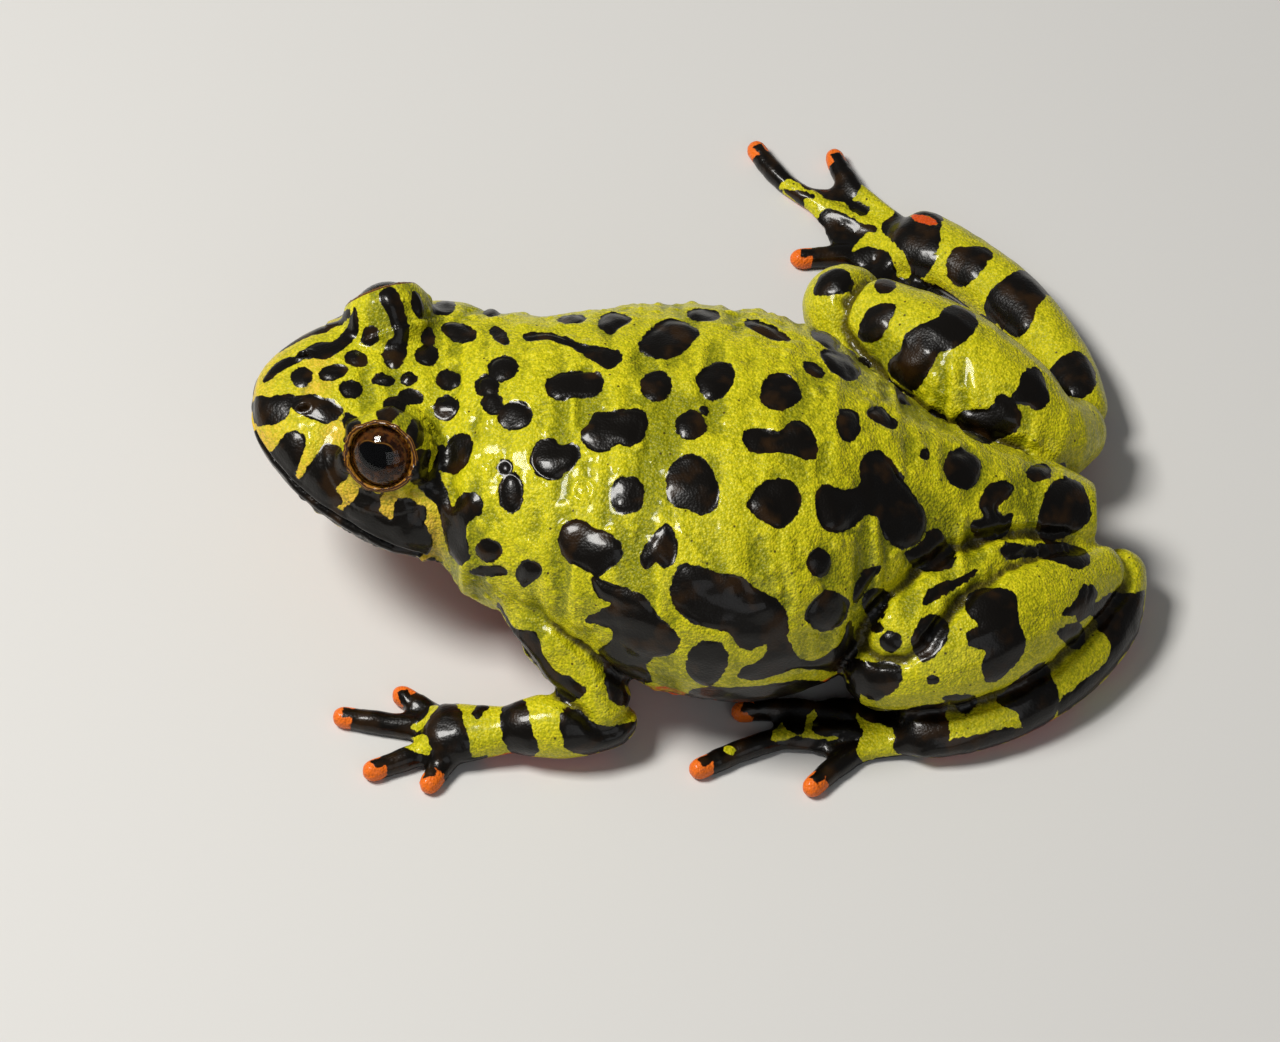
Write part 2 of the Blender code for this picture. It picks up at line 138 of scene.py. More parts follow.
flesh = bmesh.new()
flesh_parts = []
for name in FLESH:
    first = len(flesh.faces)
    flesh.from_mesh(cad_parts[name].data)
    flesh_parts += [name] * (len(flesh.faces) - first)
flesh_tree = BVHTree.FromBMesh(flesh)
bmesh.ops.remove_doubles(flesh, verts=flesh.verts, dist=WELD * MM)
bmesh.ops.recalc_face_normals(flesh, faces=flesh.faces)
flesh.normal_update()
grown = [(vert.co / MM + vert.normal * BRIDGE) * MM for vert in flesh.verts]
faces = [[vert.index for vert in face.verts] for face in flesh.faces]
skin = bpy.data.objects.new("skin", bpy.data.meshes.new("skin"))
skin.data.from_pydata(grown, [], faces)
skin.data.validate()
bpy.context.scene.collection.objects.link(skin)
flesh.free()
remesh = skin.modifiers.new("fuse", "REMESH")
remesh.mode = "VOXEL"
remesh.voxel_size = SKIN_CELL * MM
apply_modifiers(skin)

# Which part of the body each point of the skin covers
points = read_rows(skin.data.vertices, "co", 3) / MM
part_names = sorted(set(flesh_parts))
part_of = np.array(
    [part_names.index(flesh_parts[flesh_tree.find_nearest(Vector(p) * MM)[2]]) for p in points]
)
print("skin points", len(points))

# Where one part runs smoothly into the next: middle, reach and softness of each such place.
# Everywhere else two parts that touch keep a narrow crease between them.
JOINTS = [
    ((-2.4, -11.4, 9.0), 12.0, 2.0),
    ((4.6, -8.0, 7.2), 4.2, 1.6), ((-8.0, -7.8, 7.2), 4.2, 1.6),
    ((10.5, -4.8, 2.4), 2.2, 1.0), ((-14.2, -4.8, 2.4), 2.2, 1.0),
    ((10.9, -9.9, 1.6), 1.8, 0.9), ((-14.7, -10.2, 1.6), 1.8, 0.9),
    ((9.4, 9.6, 3.6), 2.2, 1.0), ((-16.4, 8.4, 3.6), 2.2, 1.0),
    ((1.6, 22.7, 2.9), 2.0, 1.0), ((-9.4, 21.6, 2.8), 2.0, 1.0),
    ((0.4, 20.2, 4.6), 2.6, 1.2), ((-3.2, 19.8, 4.6), 2.8, 1.2),
]
JOINT_PASSES = 70
# Where a hand or foot runs out of its limb the flesh tapers without a step
TAPERS = [
    ((10.9, -10.2, 1.6), 2.6, 1.4), ((-14.7, -10.6, 1.6), 2.6, 1.4),
    ((11.0, 11.2, 1.2), 2.4, 1.2), ((-24.0, 11.4, 1.2), 2.4, 1.2),
]
TAPER_PASSES = 36
CREASE_WIDTH = 0.22
CREASE_DEPTH = 0.34
CREASE_STEPS = 12
CREASE_BLENDS = 3
CREASE_GAIN = 1.5


def steps_from(start, most):
    """How many edges lie between each point and the nearest start point, up to the most."""
    steps = np.where(start, 0.0, float(most))
    for _ in range(most):
        near = np.minimum(steps[edges[:, 0]], steps[edges[:, 1]]) + 1.0
        np.minimum.at(steps, edges[:, 0], near)
        np.minimum.at(steps, edges[:, 1], near)
    return steps


def nearness(places):
    """How near each point is to the nearest of some places, each with its reach and softness."""
    near = np.zeros(len(points))
    for middle, reach, fade in places:
        away = np.linalg.norm(points - np.array(middle), axis=1)
        near = np.maximum(near, np.clip((reach - away) / fade, 0.0, 1.0))
    return near


edges = read_rows(skin.data.edges, "vertices", 2, np.int64)
counts = np.bincount(edges.ravel(), minlength=len(points)).clip(1)
on_seam = np.zeros(len(points), dtype=bool)
on_seam[edges[part_of[edges[:, 0]] != part_of[edges[:, 1]]].ravel()] = True
seam_steps = steps_from(on_seam, CREASE_STEPS)
near_joint = nearness(JOINTS)
taper = nearness(TAPERS)[:, None]
soft = near_joint * np.clip(2.0 - 2.0 * seam_steps / CREASE_STEPS, 0.0, 1.0)
points = relax(points, soft[:, None], JOINT_PASSES)
for _ in range(TAPER_PASSES):
    points = points + (neighbour_mean(points, edges, counts) - points) * taper * 0.5
points = relax(points, 1.0, SMOOTH_PASSES)
# The crease share below both sinks the groove and later darkens it as painted shade
crease = np.exp(-((seam_steps * SKIN_CELL / CREASE_WIDTH) ** 2)) * (1.0 - near_joint)
crease = crease[:, None] * (1.0 - taper)
for _ in range(CREASE_BLENDS):
    crease = 0.5 * crease + 0.5 * neighbour_mean(crease, edges, counts)
crease = crease[:, 0] * CREASE_GAIN
write_points(skin.data, points)
normals = read_rows(skin.data.vertex_normals, "vector", 3)
points = points - normals * (crease * CREASE_DEPTH)[:, None]
write_points(skin.data, points)
store_field(skin.data, "crease", crease)
coarse_tree = BVHTree.FromPolygons(
    [Vector(p) for p in points], [tuple(face.vertices) for face in skin.data.polygons]
)
subdivide = skin.modifiers.new("finer", "SUBSURF")
subdivide.levels = subdivide.render_levels = 1
apply_modifiers(skin)
points = read_rows(skin.data.vertices, "co", 3) / MM
normals = read_rows(skin.data.vertex_normals, "vector", 3)
points = points - normals * (BRIDGE - SKIN_OVER)
crease = read_rows(skin.data.attributes["crease"].data, "value", 1, np.float32)[:, 0]
print("fine points", len(points))

# Marks. Black patches lie on the green skin like drops, each a smooth low cushion of its own.
# They are laid where the photograph shows them, by their outlines or as round spots, along the
# lines of sight from the camera. A field keeps how far inside a mark each point of the skin is.
ROUND_MARKS = [
    (423, 305, 6, 13, -18), (429, 336, 6, 9, 0), (427, 354, 11, 11, 0), (368, 336, 9.5, 9, 0),
    (356, 358, 11, 8, 15), (301, 376, 10, 9.5, 0), (333, 372, 14, 7.5, -12), (351, 389, 11, 8.5, 0),
    (383, 379, 11, 5.5, 0), (409, 378, 8, 6, 0), (422, 430, 8, 16, -8), (448, 379, 12, 10, 10),
    (446, 407, 13, 12, 0), (447, 304, 8, 9, 0), (459, 331, 18, 9, 22), (488, 551, 13, 11, 0),
    (505, 468, 8, 8, 0), (511, 493, 12, 20, 0), (492, 311, 8, 5, 0), (500, 335, 12, 6, 45),
    (503, 368, 15, 12, -10), (487, 386, 11, 11, 0), (492, 403, 10, 12, -30), (515, 415, 17, 14, 0),
    (572, 319, 14, 5, -5), (704, 314, 16, 6, 5), (767, 330, 24, 6, 24), (656, 384, 15.5, 15, 0),
    (814, 368, 11, 6, 30), (691, 424, 15, 15, 0), (705, 409, 4, 4, 0), (925, 454, 5, 5, 0),
    (820, 563, 12, 14, 0), (876, 627, 6, 5, 0), (890, 642, 10, 10, 0), (933, 681, 6, 4, 0),
    (885, 283, 10, 8, 0), (905, 394, 11, 6, 35), (1040, 471, 12, 8, 0), (420, 515, 6, 9, 0),
]
HEAD_MARKS = [
    [(382, 300), (389, 292), (398, 294), (405, 306), (409, 322), (408, 338), (406, 354), (399, 367),
     (390, 366), (383, 355), (388, 342), (394, 334), (392, 321), (386, 311)],
    [(378, 404), (388, 397), (399, 394), (404, 388), (413, 389), (422, 395), (421, 401), (405, 404),
     (396, 411), (387, 418), (379, 413)],
    [(290, 403), (297, 396), (309, 394), (321, 398), (331, 400), (341, 408), (338, 416), (325, 422),
     (310, 417), (298, 411)],
    [(253, 398), (270, 396), (290, 393), (292, 399), (288, 409), (281, 420), (268, 423),
     (254, 422)],
    [(447, 443), (455, 435), (467, 434), (472, 442), (470, 458), (462, 469), (452, 473), (442, 468),
     (440, 458)],
    [(339, 431), (342, 418), (350, 413), (358, 419), (350, 432), (346, 446), (341, 441)],
    [(262, 379), (271, 366), (284, 357), (295, 356), (306, 347), (319, 341), (334, 340), (343, 324),
     (352, 310), (353, 326), (348, 342), (337, 350), (325, 358), (308, 357), (295, 362), (281, 369),
     (269, 378)],
    [(278, 350), (294, 341), (311, 333), (325, 330), (336, 322), (345, 313), (331, 315), (311, 324),
     (293, 334)],
    [(283, 437), (291, 432), (300, 436), (304, 446), (298, 461), (293, 476), (284, 480), (274, 471),
     (267, 459), (276, 448)],
    [(319, 450), (326, 446), (334, 450), (339, 463), (341, 479), (334, 490), (340, 502), (330, 507),
     (315, 502), (302, 493), (300, 482), (308, 467)],
    [(361, 490), (380, 487), (389, 493), (379, 506), (380, 515), (391, 520), (397, 509), (407, 503),
     (418, 507), (421, 520), (431, 540), (428, 554), (405, 556), (380, 548), (358, 533), (344, 514),
     (354, 502)],
    [(414, 453), (428, 450), (437, 458), (438, 474), (444, 488), (452, 508), (459, 499), (471, 493),
     (481, 500), (480, 513), (468, 521), (466, 540), (468, 558), (457, 564), (447, 547), (442, 525),
     (436, 505), (424, 494), (412, 478)],
    [(282, 466), (296, 479), (309, 490), (325, 502), (347, 518), (366, 541), (390, 556), (415, 562),
     (440, 566), (425, 576), (395, 568), (365, 556), (335, 536), (308, 514), (286, 492)],
]
BACK_MARKS = [
    [(525, 334), (545, 332), (561, 336), (585, 345), (602, 346), (619, 351), (621, 360), (608, 368),
     (595, 361), (582, 352), (560, 342), (544, 339), (527, 340)],
    [(600, 318), (609, 312), (621, 313), (631, 319), (618, 328), (611, 332), (601, 327)],
    [(547, 381), (556, 374), (575, 371), (598, 373), (602, 383), (597, 393), (575, 396), (556, 398),
     (548, 392)],
    [(639, 343), (650, 330), (665, 319), (685, 321), (699, 331), (690, 343), (676, 355), (660, 357),
     (645, 352)],
    [(696, 378), (708, 366), (719, 360), (734, 368), (732, 384), (722, 395), (707, 396)],
    [(762, 388), (770, 375), (783, 373), (797, 383), (800, 397), (785, 408), (774, 409),
     (763, 402)],
    [(581, 433), (590, 420), (597, 411), (612, 412), (630, 408), (644, 412), (646, 425), (640, 440),
     (628, 445), (617, 443), (605, 451), (592, 450), (584, 442)],
    [(531, 454), (538, 442), (550, 438), (560, 444), (572, 443), (579, 450), (577, 462), (565, 472),
     (554, 479), (540, 476), (532, 465)],
    [(612, 495), (617, 480), (630, 477), (641, 483), (643, 498), (637, 510), (622, 512),
     (613, 506)],
    [(667, 481), (674, 462), (688, 454), (702, 458), (713, 473), (719, 492), (715, 507), (702, 514),
     (688, 509), (671, 502)],
    [(749, 501), (757, 488), (772, 480), (785, 479), (798, 488), (800, 505), (791, 520), (778, 528),
     (765, 521), (752, 512)],
    [(743, 434), (757, 427), (770, 432), (782, 433), (787, 424), (798, 420), (810, 428), (817, 445),
     (815, 458), (800, 456), (785, 451), (768, 452), (750, 450)],
    [(838, 420), (842, 410), (853, 410), (860, 420), (859, 432), (850, 441), (840, 435)],
    [(868, 411), (880, 406), (888, 412), (896, 425), (890, 429), (880, 423), (870, 417)],
    [(945, 465), (952, 452), (965, 449), (980, 458), (981, 472), (972, 487), (958, 486),
     (948, 477)],
    [(862, 463), (870, 453), (882, 452), (893, 465), (905, 482), (918, 500), (927, 515), (924, 535),
     (910, 547), (895, 545), (885, 532), (879, 517), (868, 515), (855, 525), (838, 532), (822, 525),
     (817, 506), (819, 490), (830, 486), (845, 490), (861, 486)],
    [(984, 496), (990, 485), (1003, 482), (1014, 487), (1009, 497), (997, 506), (1002, 516),
     (1013, 514), (1010, 528), (1000, 539), (985, 540), (975, 531), (972, 523), (984, 517),
     (980, 506)],
    [(1043, 502), (1052, 486), (1066, 478), (1081, 482), (1090, 500), (1090, 520), (1064, 536),
     (1044, 540), (1040, 520)],
    [(558, 541), (565, 525), (580, 521), (595, 530), (610, 535), (621, 547), (618, 560), (606, 570),
     (597, 576), (582, 568), (565, 559)],
    [(640, 559), (646, 545), (655, 535), (665, 524), (674, 535), (677, 553), (668, 567), (655, 562),
     (645, 568)],
    [(806, 615), (815, 600), (828, 592), (840, 595), (849, 605), (845, 620), (830, 631),
     (815, 628)],
    [(854, 600), (858, 585), (868, 572), (880, 567), (872, 582), (861, 600)],
    [(516, 572), (522, 563), (532, 562), (541, 568), (537, 577), (525, 586), (518, 582)],
]
FLANK_MARKS = [
    [(673, 582), (682, 566), (700, 568), (720, 575), (740, 577), (755, 590), (775, 600), (786, 613),
     (787, 634), (775, 640), (750, 650), (738, 645), (730, 633), (705, 627), (685, 617),
     (672, 600)],
    [(770, 640), (786, 638), (795, 655), (806, 663), (825, 658), (842, 642), (850, 622), (857, 650),
     (864, 668), (845, 672), (820, 671), (798, 670), (780, 675), (758, 681), (740, 679), (745, 669),
     (761, 662), (768, 652)],
    [(592, 578), (610, 585), (630, 592), (645, 600), (655, 615), (668, 627), (678, 641), (670, 655),
     (650, 660), (641, 674), (646, 692), (626, 706), (610, 700), (605, 680), (603, 660), (600, 650),
     (613, 640), (609, 628), (587, 622), (592, 616), (611, 605), (599, 598)],
    [(687, 660), (695, 648), (712, 643), (726, 652), (725, 669), (712, 686), (700, 686),
     (688, 675)],
    [(655, 690), (680, 697), (700, 690), (730, 690), (760, 688), (800, 683), (840, 684), (860, 700),
     (820, 708), (760, 712), (700, 712), (660, 706)],
    [(470, 572), (490, 567), (503, 568), (506, 574), (488, 576), (474, 577)],
]
LEFT_LEG_MARKS = [
    [(906, 553), (920, 545), (932, 530), (943, 533), (950, 545), (957, 555), (950, 567), (930, 571),
     (918, 567)],
    [(924, 604), (930, 590), (945, 582), (961, 577), (978, 568), (969, 578), (950, 590),
     (935, 599)],
    [(864, 603), (868, 592), (880, 588), (889, 595), (888, 610), (881, 622), (875, 625),
     (868, 612)],
    [(916, 652), (912, 640), (918, 625), (930, 615), (945, 620), (947, 638), (935, 655),
     (925, 661)],
    [(967, 601), (980, 590), (1000, 588), (1015, 594), (1018, 610), (1020, 625), (1026, 640),
     (1022, 655), (1012, 668), (1001, 678), (988, 681), (983, 666), (986, 651), (970, 644),
     (969, 632), (980, 625), (971, 615)],
    [(1000, 551), (1012, 543), (1030, 546), (1055, 541), (1075, 545), (1088, 550), (1091, 560),
     (1080, 568), (1064, 562), (1045, 557), (1025, 556), (1010, 557)],
    [(843, 665), (855, 661), (870, 665), (885, 663), (898, 668), (901, 680), (890, 692), (875, 700),
     (859, 693), (847, 680)],
    [(1063, 614), (1077, 601), (1085, 585), (1092, 590), (1092, 603), (1102, 605), (1117, 594),
     (1123, 604), (1102, 616), (1085, 613)],
    [(1060, 632), (1070, 625), (1083, 625), (1086, 640), (1078, 649), (1065, 641)],
    [(1093, 585), (1099, 593), (1096, 604), (1110, 595), (1118, 593), (1125, 600), (1136, 595),
     (1149, 593), (1153, 616), (1146, 641), (1133, 666), (1113, 687), (1091, 707), (1070, 722),
     (1061, 719), (1063, 699), (1075, 692), (1085, 681), (1100, 671), (1110, 659), (1113, 646),
     (1106, 633), (1100, 622), (1093, 615), (1081, 622), (1078, 614), (1076, 608), (1084, 598)],
    [(999, 702), (1010, 688), (1030, 672), (1045, 664), (1053, 680), (1060, 700), (1052, 722),
     (1030, 738), (1020, 715), (1010, 709)],
    [(894, 730), (902, 715), (917, 708), (940, 705), (950, 700), (944, 712), (948, 730), (946, 745),
     (920, 754), (896, 748)],
    [(944, 699), (958, 696), (974, 697), (975, 706), (965, 714), (954, 706)],
    [(818, 697), (835, 694), (852, 703), (858, 722), (852, 735), (835, 735), (820, 728),
     (815, 712)],
    [(722, 712), (745, 700), (775, 695), (802, 692), (808, 700), (803, 716), (790, 714), (760, 714),
     (735, 722)],
    [(704, 772), (715, 752), (740, 735), (768, 728), (772, 742), (745, 755), (725, 768),
     (712, 782)],
    [(817, 790), (826, 766), (843, 750), (858, 738), (868, 748), (850, 762), (836, 785),
     (826, 800)],
    [(788, 722), (800, 718), (806, 726), (800, 742), (788, 744)],
    [(898, 752), (925, 747), (950, 743), (985, 736), (1013, 730), (1045, 738), (1012, 764),
     (960, 778), (905, 774)],
]
RIGHT_LEG_MARKS = [
    [(813, 291), (820, 275), (835, 267), (848, 272), (851, 285), (838, 291), (825, 293)],
    [(812, 333), (822, 325), (835, 322), (843, 330), (840, 342), (835, 349), (822, 345)],
    [(822, 352), (840, 350), (855, 360), (861, 372), (852, 379), (838, 375), (828, 365)],
    [(857, 336), (862, 318), (872, 306), (886, 303), (895, 306), (888, 319), (880, 335),
     (869, 341)],
    [(851, 256), (862, 248), (878, 250), (891, 262), (892, 276), (880, 275), (865, 268)],
    [(888, 373), (890, 360), (900, 350), (905, 335), (918, 325), (935, 318), (945, 307), (958, 304),
     (972, 312), (976, 325), (965, 338), (950, 348), (938, 352), (930, 368), (918, 385), (905, 391),
     (893, 386)],
    [(959, 413), (975, 410), (990, 408), (1000, 395), (1012, 399), (1021, 415), (1015, 430),
     (1000, 437), (985, 446), (972, 438), (961, 428)],
    [(1012, 401), (1020, 385), (1028, 369), (1040, 369), (1047, 385), (1049, 400), (1040, 409),
     (1028, 403)],
    [(1049, 373), (1060, 358), (1078, 350), (1093, 365), (1095, 385), (1083, 396), (1070, 393),
     (1060, 385)],
    [(947, 263), (952, 250), (965, 246), (985, 247), (991, 257), (980, 270), (966, 284),
     (952, 278)],
    [(984, 306), (990, 290), (1005, 278), (1020, 269), (1042, 274), (1046, 290), (1036, 305),
     (1030, 322), (1015, 338), (1000, 331), (988, 318)],
    [(880, 226), (892, 215), (900, 201), (920, 196), (935, 205), (942, 222), (940, 240), (930, 258),
     (918, 273), (910, 268), (908, 250), (895, 241)],
    [(816, 231), (822, 210), (840, 212), (860, 222), (876, 228), (862, 240), (845, 249),
     (829, 241)],
    [(757, 160), (770, 158), (785, 172), (800, 190), (812, 196), (806, 206), (794, 200), (780, 186),
     (765, 172)],
    [(836, 167), (846, 165), (855, 178), (862, 186), (852, 198), (868, 206), (862, 214), (848, 204),
     (840, 185)],
]
ARM_MARKS = [
    [(498, 603), (515, 629), (534, 634), (541, 651), (555, 672), (573, 681), (583, 694), (560, 702),
     (530, 672), (502, 636)],
    [(618, 640), (606, 655), (608, 680), (616, 702), (640, 712), (655, 700), (645, 665),
     (632, 645)],
    [(562, 715), (580, 713), (595, 725), (615, 728), (645, 722), (640, 742), (600, 756), (570, 750),
     (562, 735)],
    [(505, 698), (522, 700), (530, 730), (536, 750), (520, 758), (506, 748), (500, 720)],
    [(436, 706), (456, 702), (463, 715), (466, 730), (468, 750), (440, 754), (431, 746), (445, 731),
     (428, 728)],
    [(352, 708), (380, 702), (408, 708), (414, 722), (395, 726), (365, 726), (350, 728)],
    [(380, 772), (385, 752), (398, 742), (412, 740), (414, 754), (400, 764), (388, 780)],
    [(398, 680), (415, 684), (428, 700), (420, 706), (404, 696), (394, 690)],
    [(430, 758), (445, 752), (452, 768), (440, 786), (428, 778)],
    [(480, 701), (488, 704), (483, 712), (476, 718), (471, 715), (475, 707)],
]
# Lime bands and patches on the dark hands and feet, and a red edge on the far foot
HAND_LIME = [
    [(446, 700), (462, 697), (473, 699), (472, 711), (477, 717), (485, 709), (489, 709), (494, 719),
     (500, 728), (503, 741), (524, 757), (495, 754), (484, 761), (471, 759), (465, 730),
     (457, 706)],
    [(438, 704), (429, 705), (425, 714), (418, 720), (408, 725), (416, 732), (424, 724),
     (430, 715)],
    [(399, 744), (410, 736), (419, 733), (427, 735), (428, 744), (431, 749), (427, 755), (414, 753),
     (407, 748)],
    [(525, 688), (521, 698), (528, 708), (530, 725), (539, 741), (547, 749), (564, 751), (563, 736),
     (559, 727), (560, 713), (545, 690)],
]
LEFT_FOOT_LIME = [
    [(856, 712), (867, 720), (881, 724), (892, 727), (896, 738), (894, 749), (908, 756), (892, 758),
     (877, 759), (861, 762), (856, 752), (858, 740), (862, 732), (857, 722)],
    [(812, 707), (823, 702), (818, 715), (813, 724), (815, 732), (839, 736), (826, 740), (799, 736),
     (793, 737), (780, 742), (771, 740), (772, 730), (782, 721), (787, 727), (795, 732), (803, 732),
     (804, 721)],
    [(723, 750), (728, 743), (739, 748), (731, 755)],
]
RIGHT_FOOT_LIME = [
    [(777, 188), (782, 180), (790, 178), (803, 185), (808, 196), (799, 190), (788, 190)],
    [(803, 198), (812, 197), (820, 203), (825, 209), (817, 217), (817, 230), (809, 222),
     (803, 209)],
    [(849, 252), (856, 241), (867, 231), (883, 235), (896, 244), (907, 256), (911, 276), (896, 276),
     (893, 262), (883, 250), (870, 246), (857, 250)],
    [(855, 197), (860, 184), (870, 184), (883, 195), (896, 202), (886, 212), (881, 227), (870, 218),
     (867, 212), (872, 204), (864, 198)],
    [(942, 214), (954, 215), (970, 226), (977, 236), (975, 245), (957, 246), (948, 256), (948, 272),
     (957, 283), (967, 283), (983, 267), (986, 259), (1001, 256), (1017, 254), (1025, 264),
     (1014, 269), (999, 273), (986, 288), (980, 309), (959, 299), (941, 288), (920, 277),
     (930, 267), (938, 246)],
]
RED_EDGE = (924, 218, 15, 5, 14)
# An outline's points are drawn towards its middle until they meet the skin near it
PULLS = np.linspace(1.0, 0.2, 17)
LEAP_SHARE, LEAP_MARGIN = 2.2, 0.6
FEWEST_POINTS = 6
MARK_MARGIN = 1.0
MARK_FACING = 0.1
SLANT = (0.3, 0.5, 0.8)
OUTSIDE = -2.0


def closed_curve(outline, steps=4):
    """A smooth closed line through an outline's points."""
    b = np.array(outline, dtype=float)
    a, c, d = np.roll(b, 1, 0), np.roll(b, -1, 0), np.roll(b, -2, 0)
    line = []
    for t in np.arange(steps) / steps:
        line.append(0.5 * (
            2 * b + (c - a) * t + (2 * a - 5 * b + 4 * c - d) * t**2 + (3 * b - a - 3 * c + d) * t**3
        ))
    return np.stack(line, 1).reshape(-1, 2)


def oval(u, v, half_width, half_height, tilt, sides=14):
    turns = np.arange(sides) / sides * 2 * math.pi
    slant = math.radians(tilt)
    wide, tall = np.cos(turns) * half_width, np.sin(turns) * half_height
    return np.stack([u + wide * math.cos(slant) - tall * math.sin(slant),
                     v + wide * math.sin(slant) + tall * math.cos(slant)], 1)


def inside_depth(line, spots):
    """How far each flat point lies inside a closed line, below zero outside."""
    nearest = np.full(len(spots), 1e9)
    crossings = np.zeros(len(spots), dtype=int)
    for a, b in zip(line, np.roll(line, -1, 0)):
        along = b - a
        share = np.clip(((spots - a) @ along) / max(along @ along, 1e-12), 0.0, 1.0)
        nearest = np.minimum(nearest, np.linalg.norm(spots - a - share[:, None] * along, axis=1))
        if a[1] != b[1]:
            level = (spots[:, 1] >= min(a[1], b[1])) & (spots[:, 1] < max(a[1], b[1]))
            reach = a[0] + (spots[:, 1] - a[1]) / (b[1] - a[1]) * along[0]
            crossings += level & (spots[:, 0] < reach)
    return np.where(crossings % 2 == 1, nearest, -nearest)


def seen_from_camera(u, v):
    """Where the line of sight through a pixel meets the skin, and the skin's slope there."""
    place, slope, _, _ = coarse_tree.ray_cast(camera_place, sight_line(u, v))
    return place, slope


def around(middle, reach, facing, least):
    """The points within reach of a middle that face nearly the same way as it."""
    away = points - middle
    close = np.einsum("ij,ij->i", away, away) < reach**2
    near = np.nonzero(close & (normals @ facing > least))[0]
    return near, away[near]


def lay_mark(field, places, slopes):
    """Adds a mark whose edge follows the places on the skin to a field of depths."""
    middle = np.mean(places, axis=0)
    slope = np.mean(slopes, axis=0)
    slope /= np.linalg.norm(slope)
    side = np.cross(slope, SLANT)
    side /= np.linalg.norm(side)
    axes = np.stack([side, np.cross(slope, side)], 1)
    reach = np.linalg.norm(places - middle, axis=1).max() + MARK_MARGIN
    near, away = around(middle, reach, slope, MARK_FACING)
    field[near] = np.maximum(field[near], inside_depth((places - middle) @ axes, away @ axes))


def lay_seen_mark(field, line):
    """Lays one outline of pixels on the skin, drawn in where it runs past the body's edge."""
    centre = line.mean(0)
    hub = seen_from_camera(*centre)[0]
    if hub is None:
        return
    size = np.linalg.norm(line - centre, axis=1).max() / PIXELS_PER_MM
    places, slopes = [], []
    for end in line:
        for pull in PULLS:
            place, slope = seen_from_camera(*(centre + (end - centre) * pull))
            if place is not None and (place - hub).length < size * LEAP_SHARE + LEAP_MARGIN:
                places.append(place)
                slopes.append(slope)
                break
    if len(places) >= FEWEST_POINTS:
        lay_mark(field, np.array(places), np.array(slopes))


black_depth, lime_depth, red_edge = (np.full(len(points), OUTSIDE) for _ in range(3))
for mark in ROUND_MARKS:
    lay_seen_mark(black_depth, oval(*mark))
for outline in HEAD_MARKS + BACK_MARKS + FLANK_MARKS + LEFT_LEG_MARKS + RIGHT_LEG_MARKS + ARM_MARKS:
    lay_seen_mark(black_depth, closed_curve(outline))
for outline in HAND_LIME + LEFT_FOOT_LIME + RIGHT_FOOT_LIME:
    lay_seen_mark(lime_depth, closed_curve(outline))
lay_seen_mark(red_edge, oval(*RED_EDGE))
print("marks laid")

# The sides that the photograph hides carry spots of the same make, and the underside is
# bright orange-red with black blotches, as in every toad of this kind.
HIDDEN_SPOTS = 420
HIDDEN_SEED = 7
TRIES_FOR_EACH = 12
SPOT_SIZES = (0.45, 1.25)
SPOT_STRETCH = 0.35
SPOT_MARGIN, SPOT_FACING = 1.2, 0.2
SPOT_GAP, LOW_SPOT_GAP = 0.75, 0.25
LOWEST_SPOT = 0.5
LOW_SLOPE, LOW_LEVEL = -0.2, 2.2
EDGE_ON = 0.12
SIGHT_LIFT = 0.15
SIGHT_MARGIN = 0.3
BELLY_LEAN, BELLY_EDGE = 1.4, 0.75
BELLY_TOP, BELLY_FADE = 5.0, 0.25
BELLY_WAVE, BELLY_WAVE_CELL = 0.4, 2.4


def hash_unit(cells, seed):
    """An even number from 0 to 1 for each cell of a grid."""
    mixed = seed * 2654435761
    for axis, prime in enumerate((73856093, 19349663, 83492791)):
        mixed = mixed ^ (cells[:, axis] * prime)
    mixed = (mixed ^ (mixed >> 13)) * 1274126177
    return ((mixed ^ (mixed >> 16)) & 0xFFFFFF) / 0xFFFFFF


def soft_noise(places, cell, seed):
    """Smooth noise from -1 to 1 whose lumps are about one cell across."""
    scaled = places / cell
    low = np.floor(scaled).astype(np.int64)
    part = scaled - low
    part = part * part * (3.0 - 2.0 * part)
    total = np.zeros(len(places))
    for corner in range(8):
        step = np.array([corner & 1, corner >> 1 & 1, corner >> 2 & 1])
        weight = np.prod(np.where(step, part, 1.0 - part), axis=1)
        total += weight * hash_unit(low + step, seed)
    return total * 2.0 - 1.0


def in_sight(place, slope):
    if slope.dot(camera_back) < EDGE_ON:
        return False
    towards = (camera_place - place).normalized()
    return coarse_tree.ray_cast(place + slope * SIGHT_LIFT, towards)[0] is None


def shows_past(place, slope, size):
    """Whether a round spot would reach out to where the camera sees it."""
    side = slope.orthogonal().normalized()
    turns = np.arange(6) * math.pi / 3
    ring = (math.cos(a) * side + math.sin(a) * slope.cross(side) for a in turns)
    ring = (coarse_tree.find_nearest(place + out * (size + SIGHT_MARGIN)) for out in ring)
    return any(in_sight(edge, rise) for edge, rise, _, _ in ring)


